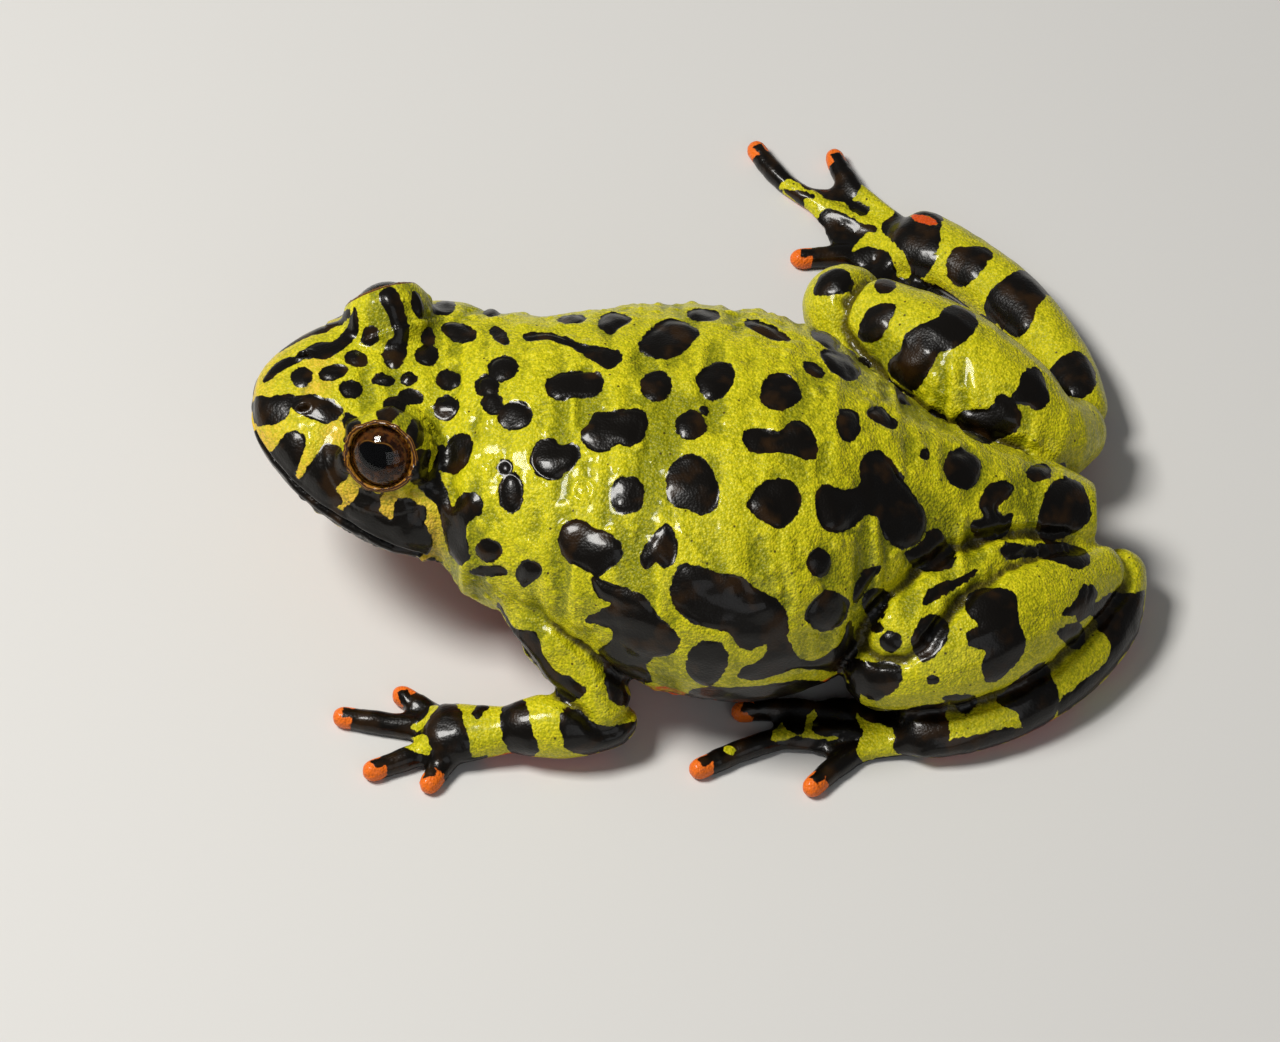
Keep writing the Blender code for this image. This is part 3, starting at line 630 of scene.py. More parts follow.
draw = np.random.default_rng(HIDDEN_SEED)
taken = []
for index in draw.permutation(len(points))[: HIDDEN_SPOTS * TRIES_FOR_EACH]:
    place, slope = Vector(points[index]), Vector(normals[index])
    size = draw.uniform(*SPOT_SIZES)
    gap = LOW_SPOT_GAP if slope.z < LOW_SLOPE or place.z < LOW_LEVEL else SPOT_GAP
    if place.z < LOWEST_SPOT or in_sight(place, slope):
        continue
    if any((place - other).length < size + radius + gap for other, radius in taken):
        continue
    if shows_past(place, slope, size):
        continue
    taken.append((place, size))
    stretch = 1.0 + SPOT_STRETCH * soft_noise(points[index][None] * 3.0, 1.0, 3)[0]
    near, away = around(np.array(place), size + SPOT_MARGIN, np.array(slope), SPOT_FACING)
    round_off = np.sqrt(away**2 @ np.array([1.0, stretch, 1.0]))
    black_depth[near] = np.maximum(black_depth[near], size - round_off)
    if len(taken) >= HIDDEN_SPOTS:
        break
print("hidden spots", len(taken))
under = -normals[:, 2] * BELLY_LEAN - BELLY_EDGE
under += BELLY_WAVE * soft_noise(points, BELLY_WAVE_CELL, 11)
under -= np.clip(points[:, 2] - BELLY_TOP, 0, 9) * BELLY_FADE

# Digits are glossy black with an orange tip, into which the black runs as a short tongue.
# The second toe of the left foot is dark over most of its tip.
TOE_TIPS = [
    (8.9, 10.9), (8.6, 7.6), (8.85, 2.74), (12.64, 0.45), (13.82, 6.48),
    (-19.6, 12.6), (-20.4, 9.4), (-23.14, 6.35), (-31.31, 3.99), (-30.7, 8.48),
    (7.8, -15.6), (9.24, -18.74), (12.77, -17.05), (13.6, -14.0),
    (-11.3, -16.0), (-12.9, -18.9), (-16.0, -17.9), (-17.1, -14.7),
]
DARK_TIP, DARK_TIP_COVER = (8.6, 7.6), 0.9
TIP_REACH = 0.84
TIP_HEIGHT = 0.6
TIP_FADE = 0.6
TIP_OVERLAP = 0.15
TIP_ROUND = 0.3
DARK_DIGIT = 3.3
DARK_RAGGED, DARK_RAGGED_CELL = 0.45, 0.9
TONGUE_REACH = -0.08
TONGUE_HALF = 0.24
TONGUE_TOP = 0.25
SHAFT_REACH = 2.0
tip_away = np.full(len(points), 9.0)
tongue = np.full(len(points), OUTSIDE)
for x, y in TOE_TIPS:
    offset = points - np.array([x, y, TIP_HEIGHT])
    away = np.linalg.norm(offset, axis=1)
    tip_away = np.minimum(tip_away, away)
    near = np.nonzero((away < SHAFT_REACH) & (normals[:, 2] > 0.0))[0]
    shaft = offset[near, :2].mean(0)
    shaft /= np.linalg.norm(shaft)
    along, across = offset[near, :2] @ shaft, offset[near, :2] @ np.array([-shaft[1], shaft[0]])
    wider = DARK_TIP_COVER if (x, y) == DARK_TIP else 0.0
    cover = np.minimum(along + TONGUE_REACH + wider, TONGUE_HALF + wider - np.abs(across))
    tongue[near] = np.maximum(tongue[near], np.minimum(cover, normals[near, 2] - TONGUE_TOP))
red_depth = np.maximum(np.maximum(under, red_edge), TIP_REACH + TIP_OVERLAP - tip_away)
tip_depth = TIP_REACH + TIP_FADE - tip_away
dark_digit = np.minimum(tip_away - TIP_REACH, DARK_DIGIT - tip_away)
dark_digit += DARK_RAGGED * soft_noise(points, DARK_RAGGED_CELL, 12)
dark_digit = np.where(tip_away < DARK_DIGIT + 1.0, dark_digit, OUTSIDE)
black_depth = np.minimum(np.maximum(black_depth, dark_digit), -lime_depth)
tip_dark = np.maximum(tip_away - TIP_REACH, tongue)
at_tip = tip_away < TIP_REACH + TIP_ROUND
black_depth = np.where(at_tip, tip_dark, np.minimum(black_depth, -red_edge))

# Relief. The back is drawn into small folds across the body and pebbled with low warts. Each
# black patch stands up as a lumpy cushion, and the limbs are finer and smoother.
FOLD_HEIGHT = 0.35
FOLD_RUN = (0.30, 1.0, 0.30)
FOLD_CELL, FOLD_LIFT, FOLD_SLOPE, FOLD_CREST = 1.15, 0.6, 1.25, 0.03
RIPPLE_CELL, RIPPLE_SHARE = 0.55, 0.2
PEBBLE_HEIGHT = 0.030
PEBBLE_CELLS = (0.62, 0.30)
CALM_REACH = (2.9, 4.4)
TRUNK_MIDDLE, TRUNK_HALF = (-1.0, -0.5), (12.5, 22.0)
TRUNK_LEVELS, TRUNK_EDGE = (2.0, 5.0), 0.12
LIMB_FOLDS, LIMB_PEBBLES, LIMB_CUSHION, LIMB_HOLLOW = 0.12, 0.5, 0.4, 0.3
EYE_RELIEF = 0.1
WART_COUNT = 900
WART_SEED = 21
WART_SIZES = (0.22, 0.62)
WART_LEAST, WART_STEEP = 0.05, 0.10
SOWN_FROM, RAISED_FROM = 0.3, 0.2
RING_WART = (583, 490)
RING_HEIGHT, RING_RADIUS, RING_WIDTH = 0.11, 0.55, 0.16
KNOB_HEIGHT, KNOB_WIDTH = 0.09, 0.2
PATCH_HEIGHT, PATCH_SWELL, PATCH_MARGIN = 0.18, 0.42, 0.05
LUMP_HEIGHT, LUMP_CELL, LUMP_FROM_EDGE = 0.10, 0.95, 0.4
GREEN_ENDS = (-0.12, 0.1)
# How much painted shade the fold valleys, pebbles and warts give
HOLLOW_LEAST, HOLLOW_LIFT, HOLLOW_FOLDS = 0.2, 0.6, 1.15
HOLLOW_PEBBLES, HOLLOW_WARTS = 0.25, 4.0


def ramp(values, low, high):
    share = np.clip((values - low) / (high - low), 0.0, 1.0)
    return share * share * (3.0 - 2.0 * share)


def faded(mask, least):
    """A mask that fades to its least share and not to nothing."""
    return least + (1.0 - least) * mask


calm = np.ones(len(points))
for label in ("left", "right"):
    low, high = (np.array(corner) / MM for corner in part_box("eye_" + label))
    calm *= ramp(np.linalg.norm(points - (low + high) / 2, axis=1), *CALM_REACH)
from_middle = np.hypot(*((points[:, :2] - TRUNK_MIDDLE) / TRUNK_HALF).T)
trunk = ramp(1.0 - from_middle, 0.0, TRUNK_EDGE) * ramp(points[:, 2], *TRUNK_LEVELS)
across_body = points * np.array(FOLD_RUN)
folds = np.sqrt(soft_noise(across_body, FOLD_CELL, 31) ** 2 + FOLD_CREST)
folds = FOLD_LIFT - folds * FOLD_SLOPE + soft_noise(across_body, RIPPLE_CELL, 32) * RIPPLE_SHARE
pebbles = sum(soft_noise(points, cell, 41 + k) * 0.5 for k, cell in enumerate(PEBBLE_CELLS))
relief = FOLD_HEIGHT * folds * faded(trunk, LIMB_FOLDS)
relief += PEBBLE_HEIGHT * pebbles * faded(trunk, LIMB_PEBBLES)
relief *= faded(calm, EYE_RELIEF)
draw = np.random.default_rng(WART_SEED)
warts = KDTree(WART_COUNT)
wart_size = draw.uniform(*WART_SIZES, WART_COUNT)
candidates = np.nonzero(trunk > SOWN_FROM)[0]
for number, index in enumerate(draw.choice(candidates, WART_COUNT, replace=False)):
    warts.insert(points[index], number)
warts.balance()
wart_rise = np.zeros(len(points))
for index in np.nonzero(trunk > RAISED_FROM)[0]:
    _, number, away = warts.find(points[index])
    size = wart_size[number]
    if away < size:
        wart_rise[index] = (1.0 - (away / size) ** 2) ** 2 * (WART_LEAST + WART_STEEP * size)
ring_away = np.linalg.norm(points - np.array(seen_from_camera(*RING_WART)[0]), axis=1)
wart_rise += RING_HEIGHT * np.exp(-(((ring_away - RING_RADIUS) / RING_WIDTH) ** 2))
wart_rise += KNOB_HEIGHT * np.exp(-((ring_away / KNOB_WIDTH) ** 2))
inside = np.clip(black_depth + PATCH_MARGIN, 0.0, None)
cushion = PATCH_HEIGHT * (1.0 - np.exp(-inside / PATCH_SWELL))
cushion += LUMP_HEIGHT * soft_noise(points, LUMP_CELL, 51) * ramp(inside, 0.0, LUMP_FROM_EDGE)
green_relief = (relief + wart_rise) * (1.0 - ramp(black_depth, *GREEN_ENDS))
points = points + normals * (green_relief + cushion * faded(trunk, LIMB_CUSHION))[:, None]
# Painted shade: the fold valleys, and less so the dips among pebbles and warts, are darkened towards
# olive
hollow = HOLLOW_LEAST + (HOLLOW_LIFT - folds * HOLLOW_FOLDS) * faded(trunk, LIMB_HOLLOW)
hollow = np.clip(hollow - pebbles * HOLLOW_PEBBLES - wart_rise * HOLLOW_WARTS, 0.0, 1.0)

# Lips and nostrils. The mouth is a fine closed line between two low lips, and each nostril a
# small slanting hole with a raised rim near the tip of the snout.
HEAD_PLACE = np.array([-4.0, -16.3, 12.2])
HEAD_TURN, HEAD_TILT, HEAD_TIP = math.radians(1.0), math.radians(7.0), math.radians(2.0)
MOUTH_ROWS = [
    (8.50, -2.30), (6.75, -2.23), (6.05, -2.43), (4.85, -2.73), (3.10, -3.08), (1.10, -3.38),
    (-1.10, -3.72), (-2.50, -4.20),
]
MOUTH_CORNER = (-2.9, -2.1)
MOUTH_HALF, MOUTH_LEAN = 9.5, 0.75
MOUTH_DEPTH, MOUTH_WIDTH = 0.30, 0.12
LIP_HEIGHT, LIP_PLACE, LIP_WIDTH = 0.07, 0.34, 0.17
BLACK_LIP, BLACK_LIP_TOP, BLACK_LIP_FRONT, BLACK_LIP_BACK = 1.1, 0.1, 1.4, -0.6
NOSTRIL_SEEN = (303, 407)
NOSTRIL_SIZE = 0.21
NOSTRIL_DEPTH = 0.42
NOSTRIL_SHAPE = (0.8, 1.25, 1.0)
PIT_BLACK_FROM, PIT_BLACK = 0.3, 0.2
RIM_HEIGHT, RIM_OUT, RIM_WIDTH = 0.10, 1.8, 0.14
CHEEK_LEVELS, CHEEK_BACK, THROAT_LEVELS = (-0.6, 2.2), (-4.0, -2.0), (-8.5, -6.5)
GOLD_DUST = [(318, 362), (316, 387), (334, 431)]
DUST_REACH, DUST_SHARE = 0.85, 0.8
head_level = np.array([math.sin(HEAD_TURN), -math.cos(HEAD_TURN), 0.0])
head_ahead = head_level * math.cos(HEAD_TILT) + np.array([0, 0, math.sin(HEAD_TILT)])
flat_left = np.array([math.cos(HEAD_TURN), math.sin(HEAD_TURN), 0.0])
head_left = flat_left * math.cos(HEAD_TIP) + np.cross(head_ahead, flat_left) * math.sin(HEAD_TIP)
head_up = np.cross(head_ahead, head_left)
head_axes = np.stack([head_ahead, head_left, head_up], 1)

ahead, leftward, upward = ((points - HEAD_PLACE) @ head_axes).T
mouth_ahead, mouth_level = np.array(MOUTH_ROWS[::-1]).T
line_away = upward - np.interp(ahead, mouth_ahead, mouth_level)
outer_side = np.abs((normals @ head_axes)[:, 2]) < MOUTH_LEAN
along_mouth = ramp(ahead, *MOUTH_CORNER) * outer_side * (np.abs(leftward) < MOUTH_HALF)
groove = np.exp(-((line_away / MOUTH_WIDTH) ** 2)) * along_mouth
lips = np.exp(-(((np.abs(line_away) - LIP_PLACE) / LIP_WIDTH) ** 2)) * along_mouth
points = points + normals * (LIP_HEIGHT * lips - MOUTH_DEPTH * groove)[:, None]
nostril = np.array(seen_from_camera(*NOSTRIL_SEEN)[0])
mirrored = (nostril - HEAD_PLACE) @ head_axes * np.array([1.0, -1.0, 1.0])
pit = np.zeros(len(points))
for place in (nostril, HEAD_PLACE + head_axes @ mirrored):
    offset = (points - place) @ head_axes
    away = np.linalg.norm(offset * np.array(NOSTRIL_SHAPE), axis=1)
    pit = np.maximum(pit, np.exp(-((away / NOSTRIL_SIZE) ** 4)))
    rim_rise = RIM_HEIGHT * np.exp(-(((away - NOSTRIL_SIZE * RIM_OUT) / RIM_WIDTH) ** 2))
    points = points + normals * rim_rise[:, None]
points = points - normals * (NOSTRIL_DEPTH * pit)[:, None]
# Painted shade: the deep middle of each nostril pit is coloured black
black_depth = np.maximum(black_depth, np.where(pit > PIT_BLACK_FROM, PIT_BLACK, OUTSIDE))
lower_lip = np.minimum(line_away + BLACK_LIP, BLACK_LIP_TOP - line_away)
black_side = np.minimum(leftward - BLACK_LIP_FRONT, ahead - BLACK_LIP_BACK)
lower_lip = np.minimum(lower_lip, black_side)
black_depth = np.maximum(black_depth, lower_lip)
# The mouth groove and the nostril pits take the same painted olive shade
hollow = np.maximum(hollow, np.maximum(groove, pit))
gold = ramp(-upward, *CHEEK_LEVELS) * ramp(ahead, *CHEEK_BACK) * ramp(upward, *THROAT_LEVELS)
for seen in GOLD_DUST:
    away = np.linalg.norm(points - np.array(seen_from_camera(*seen)[0]), axis=1)
    gold = np.maximum(gold, DUST_SHARE * np.exp(-((away / DUST_REACH) ** 2)))

# Lids. They are thin and hug the ball of the eye, which shows through as a round swelling.
# Their edge is brown with fine gold lines.
LID_EDGE = 0.23
LID_REACH = 1.35
LID_BEARINGS = 48
LID_WAVES = 3
LID_STRETCH = 1.3
LID_CLOSE = 0.18
LID_STAND, LID_START = 0.04, 0.02
LID_ROOT, LID_BACK = 0.3, -0.8
EDGE_REACH, RIM_REACH = 0.5, 0.75
LID_DROOP = {"left": 0.05, "right": 0.20}
BROW_HEIGHT = {"left": 0.08, "right": 0.24}
BROW_RISE, BROW_SPAN = (-0.05, 0.3), (0.5, 1.8)
EYE_LOOK = (0.36, 0.78, 0.53)
EYE_ROOM = 0.01
SIDES = {"left": 1, "right": -1}
FLOOR_GAP = 0.01


def eye_frame(label):
    """An eye's middle, radius and axes: along the head, around, and out along the look."""
    low, high = (np.array(corner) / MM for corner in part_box("eye_" + label))
    look = head_axes @ (np.array(EYE_LOOK) * np.array([1.0, SIDES[label], 1.0]))
    look /= np.linalg.norm(look)
    along = head_ahead - look * (head_ahead @ look)
    along /= np.linalg.norm(along)
    axes = np.stack([along, np.cross(look, along), look], 1)
    return (low + high) / 2, (high - low).min() / 2 - EYE_ROOM, axes


rim_depth = np.full(len(points), OUTSIDE)
for label, side in SIDES.items():
    centre, ball, axes = eye_frame(label)
    local = (points - centre) @ axes
    away = np.linalg.norm(local, axis=1)
    round_ball = (away < ball + LID_REACH) & (away > ball - LID_ROOT)
    near = np.nonzero(round_ball & (local[:, 2] > LID_BACK))[0]
    local, away = local[near], away[near]
    bearing = np.arctan2(local[:, 1], local[:, 0])
    opening = np.arctan2(np.hypot(local[:, 0], local[:, 1]), local[:, 2]) * ball
    # The opening's edge is read at each bearing, and only its broadest waves are kept
    place = bearing / (2 * math.pi) % 1.0 * LID_BEARINGS
    edge = np.full(LID_BEARINGS, 9.0)
    on_edge = away < ball + EDGE_REACH
    np.minimum.at(edge, place[on_edge].astype(int), opening[on_edge])
    waves = np.fft.rfft(edge)
    waves[LID_WAVES:] = 0.0
    middles = np.arange(-1, LID_BEARINGS + 1)
    edge, smooth = (
        np.interp(place, middles + 0.5, row[middles % LID_BEARINGS])
        for row in (edge, np.fft.irfft(waves, LID_BEARINGS))
    )
    upper = np.clip(-np.sin(bearing) * side, 0.0, 1.0)
    smooth = smooth - LID_CLOSE - LID_DROOP[label] * upper
    opening = opening + (smooth - edge) * (1.0 - ramp(opening - edge, 0.0, LID_STRETCH))
    share = ramp(away, ball + LID_START, ball + LID_REACH)
    brow = BROW_HEIGHT[label] * upper * ramp(away - ball, *BROW_RISE)
    brow *= 1.0 - ramp(opening - smooth, *BROW_SPAN)
    on_ball = ball + LID_STAND
    away_now = on_ball + (away - on_ball) * share + brow
    angle = opening / ball
    flat = np.sin(angle)
    local = np.stack([flat * np.cos(bearing), flat * np.sin(bearing), np.cos(angle)], 1)
    points[near] = centre + (local * away_now[:, None]) @ axes.T
    rim_depth[near] = np.where(away < ball + RIM_REACH, smooth + LID_EDGE - opening, OUTSIDE)
    print(label, "lid opening", round(float(smooth.min()), 2), round(float(smooth.max()), 2))
points[:, 2] = np.maximum(points[:, 2], FLOOR_GAP)
write_points(skin.data, points)

fields = {
    "crease_dark": crease, "black_depth": black_depth, "red_depth": red_depth,
    "tip_depth": tip_depth, "hollow": hollow, "gold": gold, "rim_depth": rim_depth,
}
for name, values in fields.items():
    store_field(skin.data, name, values)
for face in skin.data.polygons:
    face.use_smooth = True
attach(skin, "root")
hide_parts(*FLESH)

# The skin is moist and finely grained. Lime green is flecked with gold and turns olive in the folds
# as painted shade, black is smoother and wetter, and red shows on the tips and underneath.
LIME = (0.46, 0.44, 0.003, 1.0)
YELLOW = (0.68, 0.60, 0.010, 1.0)
OLIVE = (0.17, 0.18, 0.001, 1.0)
BLACK = (0.003, 0.002, 0.001, 1.0)
BROWN = (0.020, 0.009, 0.002, 1.0)
GOLD = (0.74, 0.46, 0.045, 1.0)
ORANGE = (0.80, 0.155, 0.010, 1.0)
SCARLET = (0.66, 0.075, 0.004, 1.0)
LID_BROWN = (0.045, 0.014, 0.003, 1.0)
LID_GOLD = (0.30, 0.13, 0.012, 1.0)
LID_LINES = 62.0
EDGE_GRAIN, EDGE_RAGGED = 2400.0, 0.38
FLECK_GRAIN = 5600.0
OLIVE_GRAIN, OLIVE_CLOUDS = 3100.0, 380.0
BROWN_CLOUDS = 700.0
PORE_SPREAD = 1300.0
SKIN_GRAIN, SKIN_CELLS = 3000.0, 7000.0
SKIN_BUMP = 0.00007
DRY_ROUGHNESS, WET_ROUGHNESS = 0.42, 0.32


class Wiring:
    """Places shader nodes in a material and joins their sockets."""

    def __init__(self, name):
        self.finish = bpy.data.materials.new(name)
        self.finish.use_nodes = True
        self.tree = self.finish.node_tree
        self.shader = self.tree.nodes["Principled BSDF"]

    def feed(self, node, inputs):
        for socket, value in inputs.items():
            if isinstance(value, bpy.types.NodeSocket):
                self.tree.links.new(value, node.inputs[socket])
            else:
                node.inputs[socket].default_value = value

    def node(self, kind, inputs, **settings):
        made = self.tree.nodes.new(kind)
        for key, value in settings.items():
            setattr(made, key, value)
        self.feed(made, inputs)
        return made

    def math(self, operation, first, second=0.5):
        made = self.node("ShaderNodeMath", {0: first, 1: second}, operation=operation)
        return made.outputs[0]

    def times(self, first, second):
        return self.math("MULTIPLY", first, second)

    def span(self, value, low, high, out_low=0.0, out_high=1.0):
        inputs = {
            "Value": value, "From Min": low, "From Max": high, "To Min": out_low, "To Max": out_high,
        }
        made = self.node("ShaderNodeMapRange", inputs, interpolation_type="SMOOTHSTEP")
        return made.outputs["Result"]

    def blend(self, share, first, second):
        made = self.node("ShaderNodeMix", {0: share, 6: first, 7: second}, data_type="RGBA")
        return made.outputs[2]

    def place(self):
        return self.node("ShaderNodeTexCoord", {}).outputs["Object"]

    def noise(self, place, scale, detail=2.0):
        inputs = {"Vector": place, "Scale": scale, "Detail": detail}
        return self.node("ShaderNodeTexNoise", inputs).outputs["Fac"]

    def cells(self, place, scale):
        inputs = {"Vector": place, "Scale": scale}
        return self.node("ShaderNodeTexVoronoi", inputs).outputs["Distance"]

    def attribute(self, name):
        return self.node("ShaderNodeAttribute", {}, attribute_name=name).outputs["Fac"]

    def bump(self, height, distance, strength):
        inputs = {"Strength": strength, "Distance": distance, "Height": height}
        return self.node("ShaderNodeBump", inputs).outputs["Normal"]


def skin_finish():
    wire = Wiring("toad skin")
    place = wire.place()
    ragged = wire.math("SUBTRACT", wire.noise(place, EDGE_GRAIN, 4.0), 0.5)
    edge = wire.times(ragged, EDGE_RAGGED)
    black = wire.span(wire.math("ADD", wire.attribute("black_depth"), edge), -0.09, -0.03)
    red = wire.span(wire.math("ADD", wire.attribute("red_depth"), edge), -0.06, 0.10)

    # Green, from the folds up: olive painted shade in the hollows, lime, yellow flecks brightest on
    # the crests as a painted highlight, olive clouds, gold and pores
    clouds = wire.noise(place, OLIVE_CLOUDS)
    flecks = wire.noise(place, FLECK_GRAIN)
    # Painted shade: the hollows turn olive
    low = wire.span(wire.attribute("hollow"), 0.36, 0.86, 0.0, 0.92)
    green = wire.blend(low, LIME, OLIVE)
    # Yellow flecks are the skin's own grain; they are strongest on the crests and fade in the
    # hollows, which makes them partly a painted highlight
    fleck_and_crest_highlight = wire.times(wire.span(flecks, 0.42, 0.62), wire.span(low, 0.0, 0.9, 1.0, 0.35))
    green = wire.blend(fleck_and_crest_highlight, green, YELLOW)
    specks = wire.noise(place, OLIVE_GRAIN, 3.0)
    green = wire.blend(wire.span(specks, 0.48, 0.68, 0.0, 0.25), green, OLIVE)
    green = wire.blend(wire.span(clouds, 0.50, 0.75, 0.0, 0.25), green, OLIVE)
    golden = wire.times(wire.attribute("gold"), wire.span(flecks, 0.36, 0.60, 0.35, 0.95))
    green = wire.blend(golden, green, GOLD)
    pore = wire.span(wire.cells(place, PORE_SPREAD), 0.12, 0.07)
    pore = wire.times(pore, wire.span(clouds, 0.40, 0.50))
    green = wire.blend(wire.times(pore, 0.85), green, BROWN)

    # Red under and at the tips, painted shade along the creases, black marks, and the lid's edge
    # over them all
    scarlet = wire.blend(wire.span(wire.attribute("tip_depth"), 0.0, 0.3), SCARLET, ORANGE)
    warm = wire.blend(red, green, scarlet)
    # Painted shade: the creases between body parts are darkened towards brown
    shade_in_creases = wire.span(wire.attribute("crease_dark"), 0.55, 1.1, 0.0, 0.88)
    warm = wire.blend(shade_in_creases, warm, BROWN)
    dark = wire.blend(wire.span(wire.noise(place, BROWN_CLOUDS), 0.5, 0.72), BLACK, BROWN)
    rim = wire.attribute("rim_depth")
    lines = wire.span(wire.math("SINE", wire.times(rim, LID_LINES)), 0.2, 0.9)
    lid = wire.blend(lines, LID_BROWN, LID_GOLD)
    grain = wire.times(wire.cells(place, SKIN_CELLS), -0.9)
    grain = wire.math("ADD", grain, wire.noise(place, SKIN_GRAIN, 3.0))
    height = wire.times(grain, wire.span(black, 0.0, 1.0, 1.0, 0.22))
    wire.feed(wire.shader, {
        "Base Color": wire.blend(wire.span(rim, 0.0, 0.05), wire.blend(black, warm, dark), lid),
        "Roughness": wire.span(black, 0.0, 1.0, DRY_ROUGHNESS, WET_ROUGHNESS),
        "Normal": wire.bump(height, SKIN_BUMP, 0.9),
        "Specular IOR Level": 0.16, "Coat Weight": 0.28, "Coat Roughness": 0.11,
    })
    return wire.finish


skin.data.materials.clear()
skin.data.materials.append(skin_finish())

# Eyes. Each is a wet ball with a clear bulging front. The copper iris lies a little behind
# it, with fine gold rings and a black pupil, an oval with three soft corners.
IRIS_RADIUS = 1.92
IRIS_HEIGHT, IRIS_DISH = 1.80, 0.26
IRIS_MESH, FRONT_MESH, BACK_MESH = (44, 120), (40, 120), (24, 80)
PUPIL_SIZE, PUPIL_ROUND, PUPIL_CORNERS, PUPIL_LENGTH = 0.96, 0.84, 0.07, 0.12
PUPIL_SHIFT = (0.16, 0.10)
FRONT_CUT = 0.97
BACK_INSET = 0.14
CORNEA_IOR = 1.376
IRIS_DARK = (0.020, 0.007, 0.002, 1.0)
IRIS_COPPER = (0.15, 0.046, 0.006, 1.0)
IRIS_GOLD = (0.40, 0.18, 0.022, 1.0)
PUPIL_BLACK = (0.001, 0.001, 0.001, 1.0)
IRIS_GRAIN, IRIS_RINGS = 3600.0, 42.0
IRIS_BUMP = 0.00004


def dome_mesh(name, radius, height_at, rings, sides, spread):
    """A round cap about +Z, from its middle out, whose height is a rule of the distance out."""
    built = bmesh.new()
    hub = built.verts.new((0.0, 0.0, height_at(0.0)))
    turns = [2 * math.pi * k / sides for k in range(sides)]
    previous = []
    for ring in range(1, rings + 1):
        out = spread(ring / rings) * radius
        level = height_at(out)
        row = [built.verts.new((math.cos(a) * out, math.sin(a) * out, level)) for a in turns]
        for k in range(sides):
            n = (k + 1) % sides
            if previous:
                built.faces.new((previous[k], row[k], row[n], previous[n]))
            else:
                built.faces.new((hub, row[k], row[n]))
        previous = row
    for face in built.faces:
        face.smooth = True
    mesh = bpy.data.meshes.new(name)
    built.to_mesh(mesh)
    built.free()
    return mesh


def ball_mesh(name, radius, front, rings, sides, cut):
    """The front or back of a ball, out to a cut share of its quarter turn."""
    return dome_mesh(
        name, radius, lambda out: front * math.sqrt(max(radius**2 - out**2, 0.0)), rings, sides,
        lambda t: math.sin(t * math.pi / 2 * cut),
    )


def iris_finish():
    wire = Wiring("iris")
    out = wire.attribute("out")
    streaks = wire.noise(wire.place(), IRIS_GRAIN, 4.0)
    waves = wire.math("ADD", wire.times(out, IRIS_RINGS), wire.times(streaks, 7.0))
    rings = wire.span(wire.math("SINE", waves), 0.2, 1.0)
    mottle = wire.times(wire.span(streaks, 0.44, 0.66), wire.span(out, 0.35, 0.8, 0.3, 0.9))
    copper = wire.blend(mottle, IRIS_DARK, IRIS_COPPER)
    rings = wire.times(rings, wire.span(out, 0.62, 0.90, 0.0, 0.75))
    copper = wire.blend(rings, copper, IRIS_GOLD)
    margin = wire.attribute("pupil")
    rim = wire.times(wire.span(margin, -0.12, -0.05), wire.span(margin, 0.0, -0.05))
    rim = wire.times(rim, wire.span(wire.attribute("above"), 0.2, 0.8, 0.0, 0.8))
    copper = wire.blend(rim, copper, IRIS_GOLD)
    wire.feed(wire.shader, {
        "Base Color": wire.blend(wire.span(margin, -0.10, 0.02), copper, PUPIL_BLACK),
        "Normal": wire.bump(streaks, IRIS_BUMP, 0.5),
        "Roughness": 0.45, "Specular IOR Level": 0.0,
    })
    return wire.finish


def cornea_finish():
    wire = Wiring("cornea")
    wire.feed(wire.shader, {
        "Base Color": (1.0, 1.0, 1.0, 1.0), "Roughness": 0.0, "IOR": CORNEA_IOR,
        "Transmission Weight": 1.0,
    })
    return wire.finish


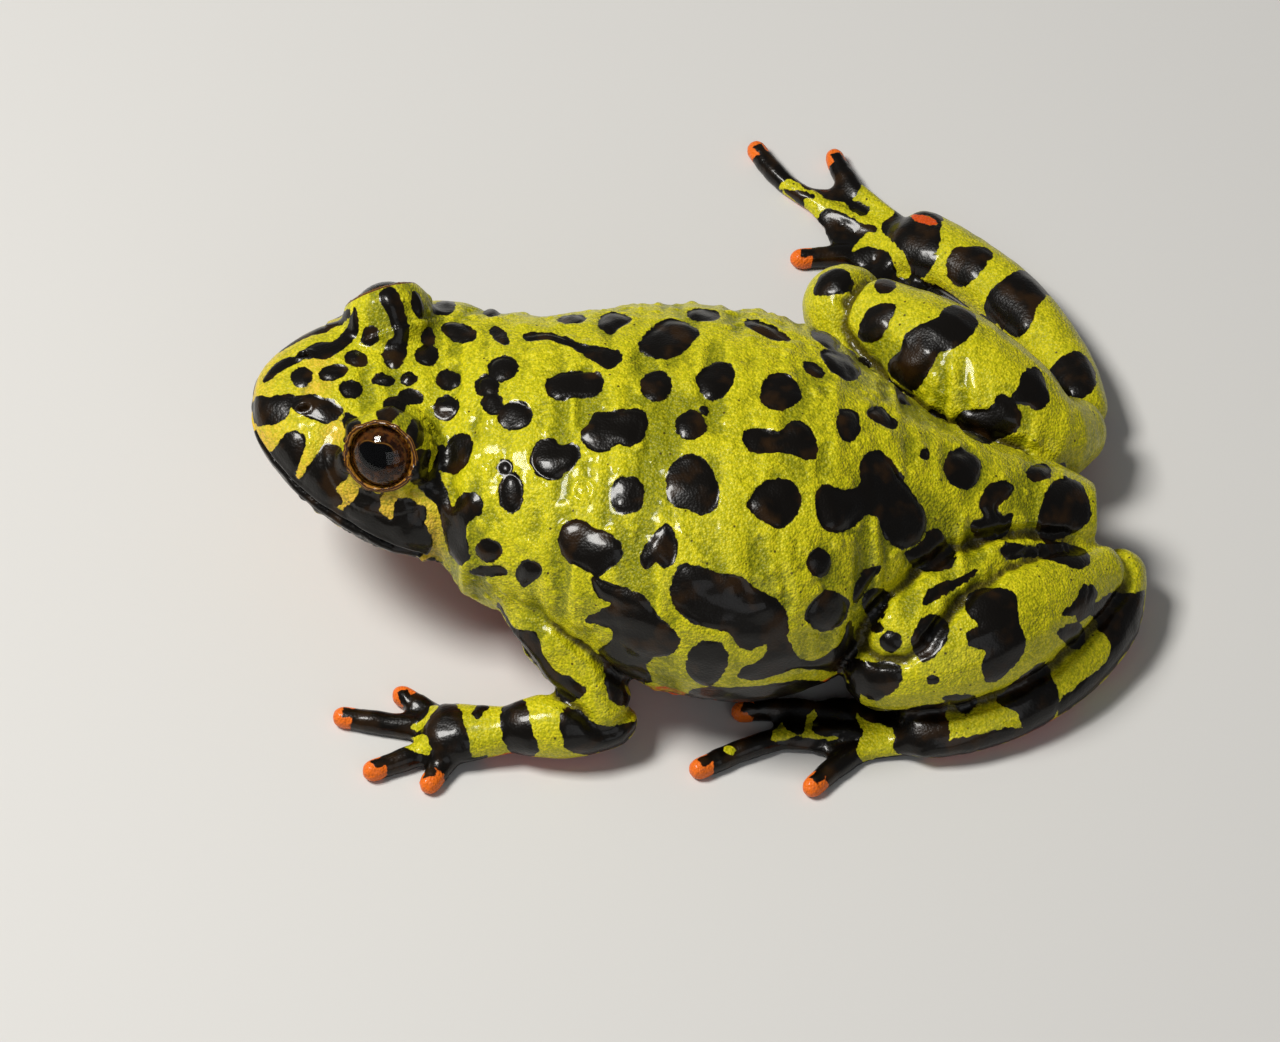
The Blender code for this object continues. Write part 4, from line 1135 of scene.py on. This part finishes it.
iris_paint, cornea_glass = iris_finish(), cornea_finish()
for label, side in SIDES.items():
    centre, ball, axes = eye_frame(label)
    iris_mesh = dome_mesh(
        "iris_" + label, IRIS_RADIUS, lambda out: IRIS_HEIGHT - IRIS_DISH * out**2, *IRIS_MESH,
        lambda t: t,
    )
    flat = np.array([v.co[:] for v in iris_mesh.vertices])
    out = np.hypot(flat[:, 0], flat[:, 1])
    ahead, above = flat[:, 0] - PUPIL_SHIFT[0], -flat[:, 1] * side - PUPIL_SHIFT[1]
    angle = np.arctan2(above, ahead)
    corners = PUPIL_CORNERS * np.cos(3 * (angle - math.pi / 6)) + PUPIL_LENGTH * np.cos(2 * angle)
    pupil = PUPIL_SIZE * (PUPIL_ROUND + corners) - np.hypot(ahead, above)
    for name, values in {"out": out / IRIS_RADIUS, "pupil": pupil, "above": above}.items():
        store_field(iris_mesh, name, values)
    cornea_mesh = ball_mesh("cornea_" + label, ball, 1, *FRONT_MESH, FRONT_CUT)
    back_mesh = ball_mesh("eyeball_" + label, ball - BACK_INSET, -1, *BACK_MESH, 1.0)

    stance = Matrix.Translation(Vector(centre) * MM) @ Matrix(axes.tolist()).to_4x4()
    for mesh, paint in (
        (iris_mesh, iris_paint), (cornea_mesh, cornea_glass), (back_mesh, iris_paint),
    ):
        piece = bpy.data.objects.new(mesh.name, mesh)
        bpy.context.scene.collection.objects.link(piece)
        mesh.materials.append(paint)
        mesh.transform(stance @ Matrix.Scale(MM, 4))
        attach(piece, "root")
    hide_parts("eye_" + label)

# The floor is a plain pale sheet and no part of the toad. The light is a soft lamp over the
# toad's head end, with a dimmer and wider one at its left side and a pale surround.
FLOOR_HALF = 0.8
floor_mesh = bmesh.new()
bmesh.ops.create_grid(floor_mesh, x_segments=1, y_segments=1, size=FLOOR_HALF)
floor = bpy.data.objects.new("floor", bpy.data.meshes.new("floor"))
floor_mesh.to_mesh(floor.data)
floor_mesh.free()
bpy.context.scene.collection.objects.link(floor)
wire = Wiring("floor")
wire.feed(wire.shader, {"Base Color": (0.62, 0.61, 0.59, 1.0), "Roughness": 0.7})
floor.data.materials.append(wire.finish)


def soft_lamp(name, place, size, watts, colour):
    """A square lamp that points at the toad."""
    lamp = bpy.data.lights.new(name, "AREA")
    lamp.size = size
    lamp.energy = watts
    lamp.color = colour
    obj = bpy.data.objects.new(name, lamp)
    obj.location = place
    obj.rotation_euler = (-Vector(place)).to_track_quat("-Z", "Y").to_euler()
    bpy.context.scene.collection.objects.link(obj)


soft_lamp("key lamp", (0.0, -0.16, 0.28), 0.095, 1.15, (1.0, 0.98, 0.94))
soft_lamp("fill lamp", (0.36, 0.10, 0.22), 0.30, 0.24, (0.96, 0.98, 1.0))
world = bpy.data.worlds.new("studio")
world.use_nodes = True
surround = world.node_tree.nodes["Background"]
surround.inputs["Color"].default_value = (0.80, 0.84, 0.90, 1.0)
surround.inputs["Strength"].default_value = 0.15
bpy.context.scene.world = world
bpy.context.scene.view_settings.view_transform = "Standard"
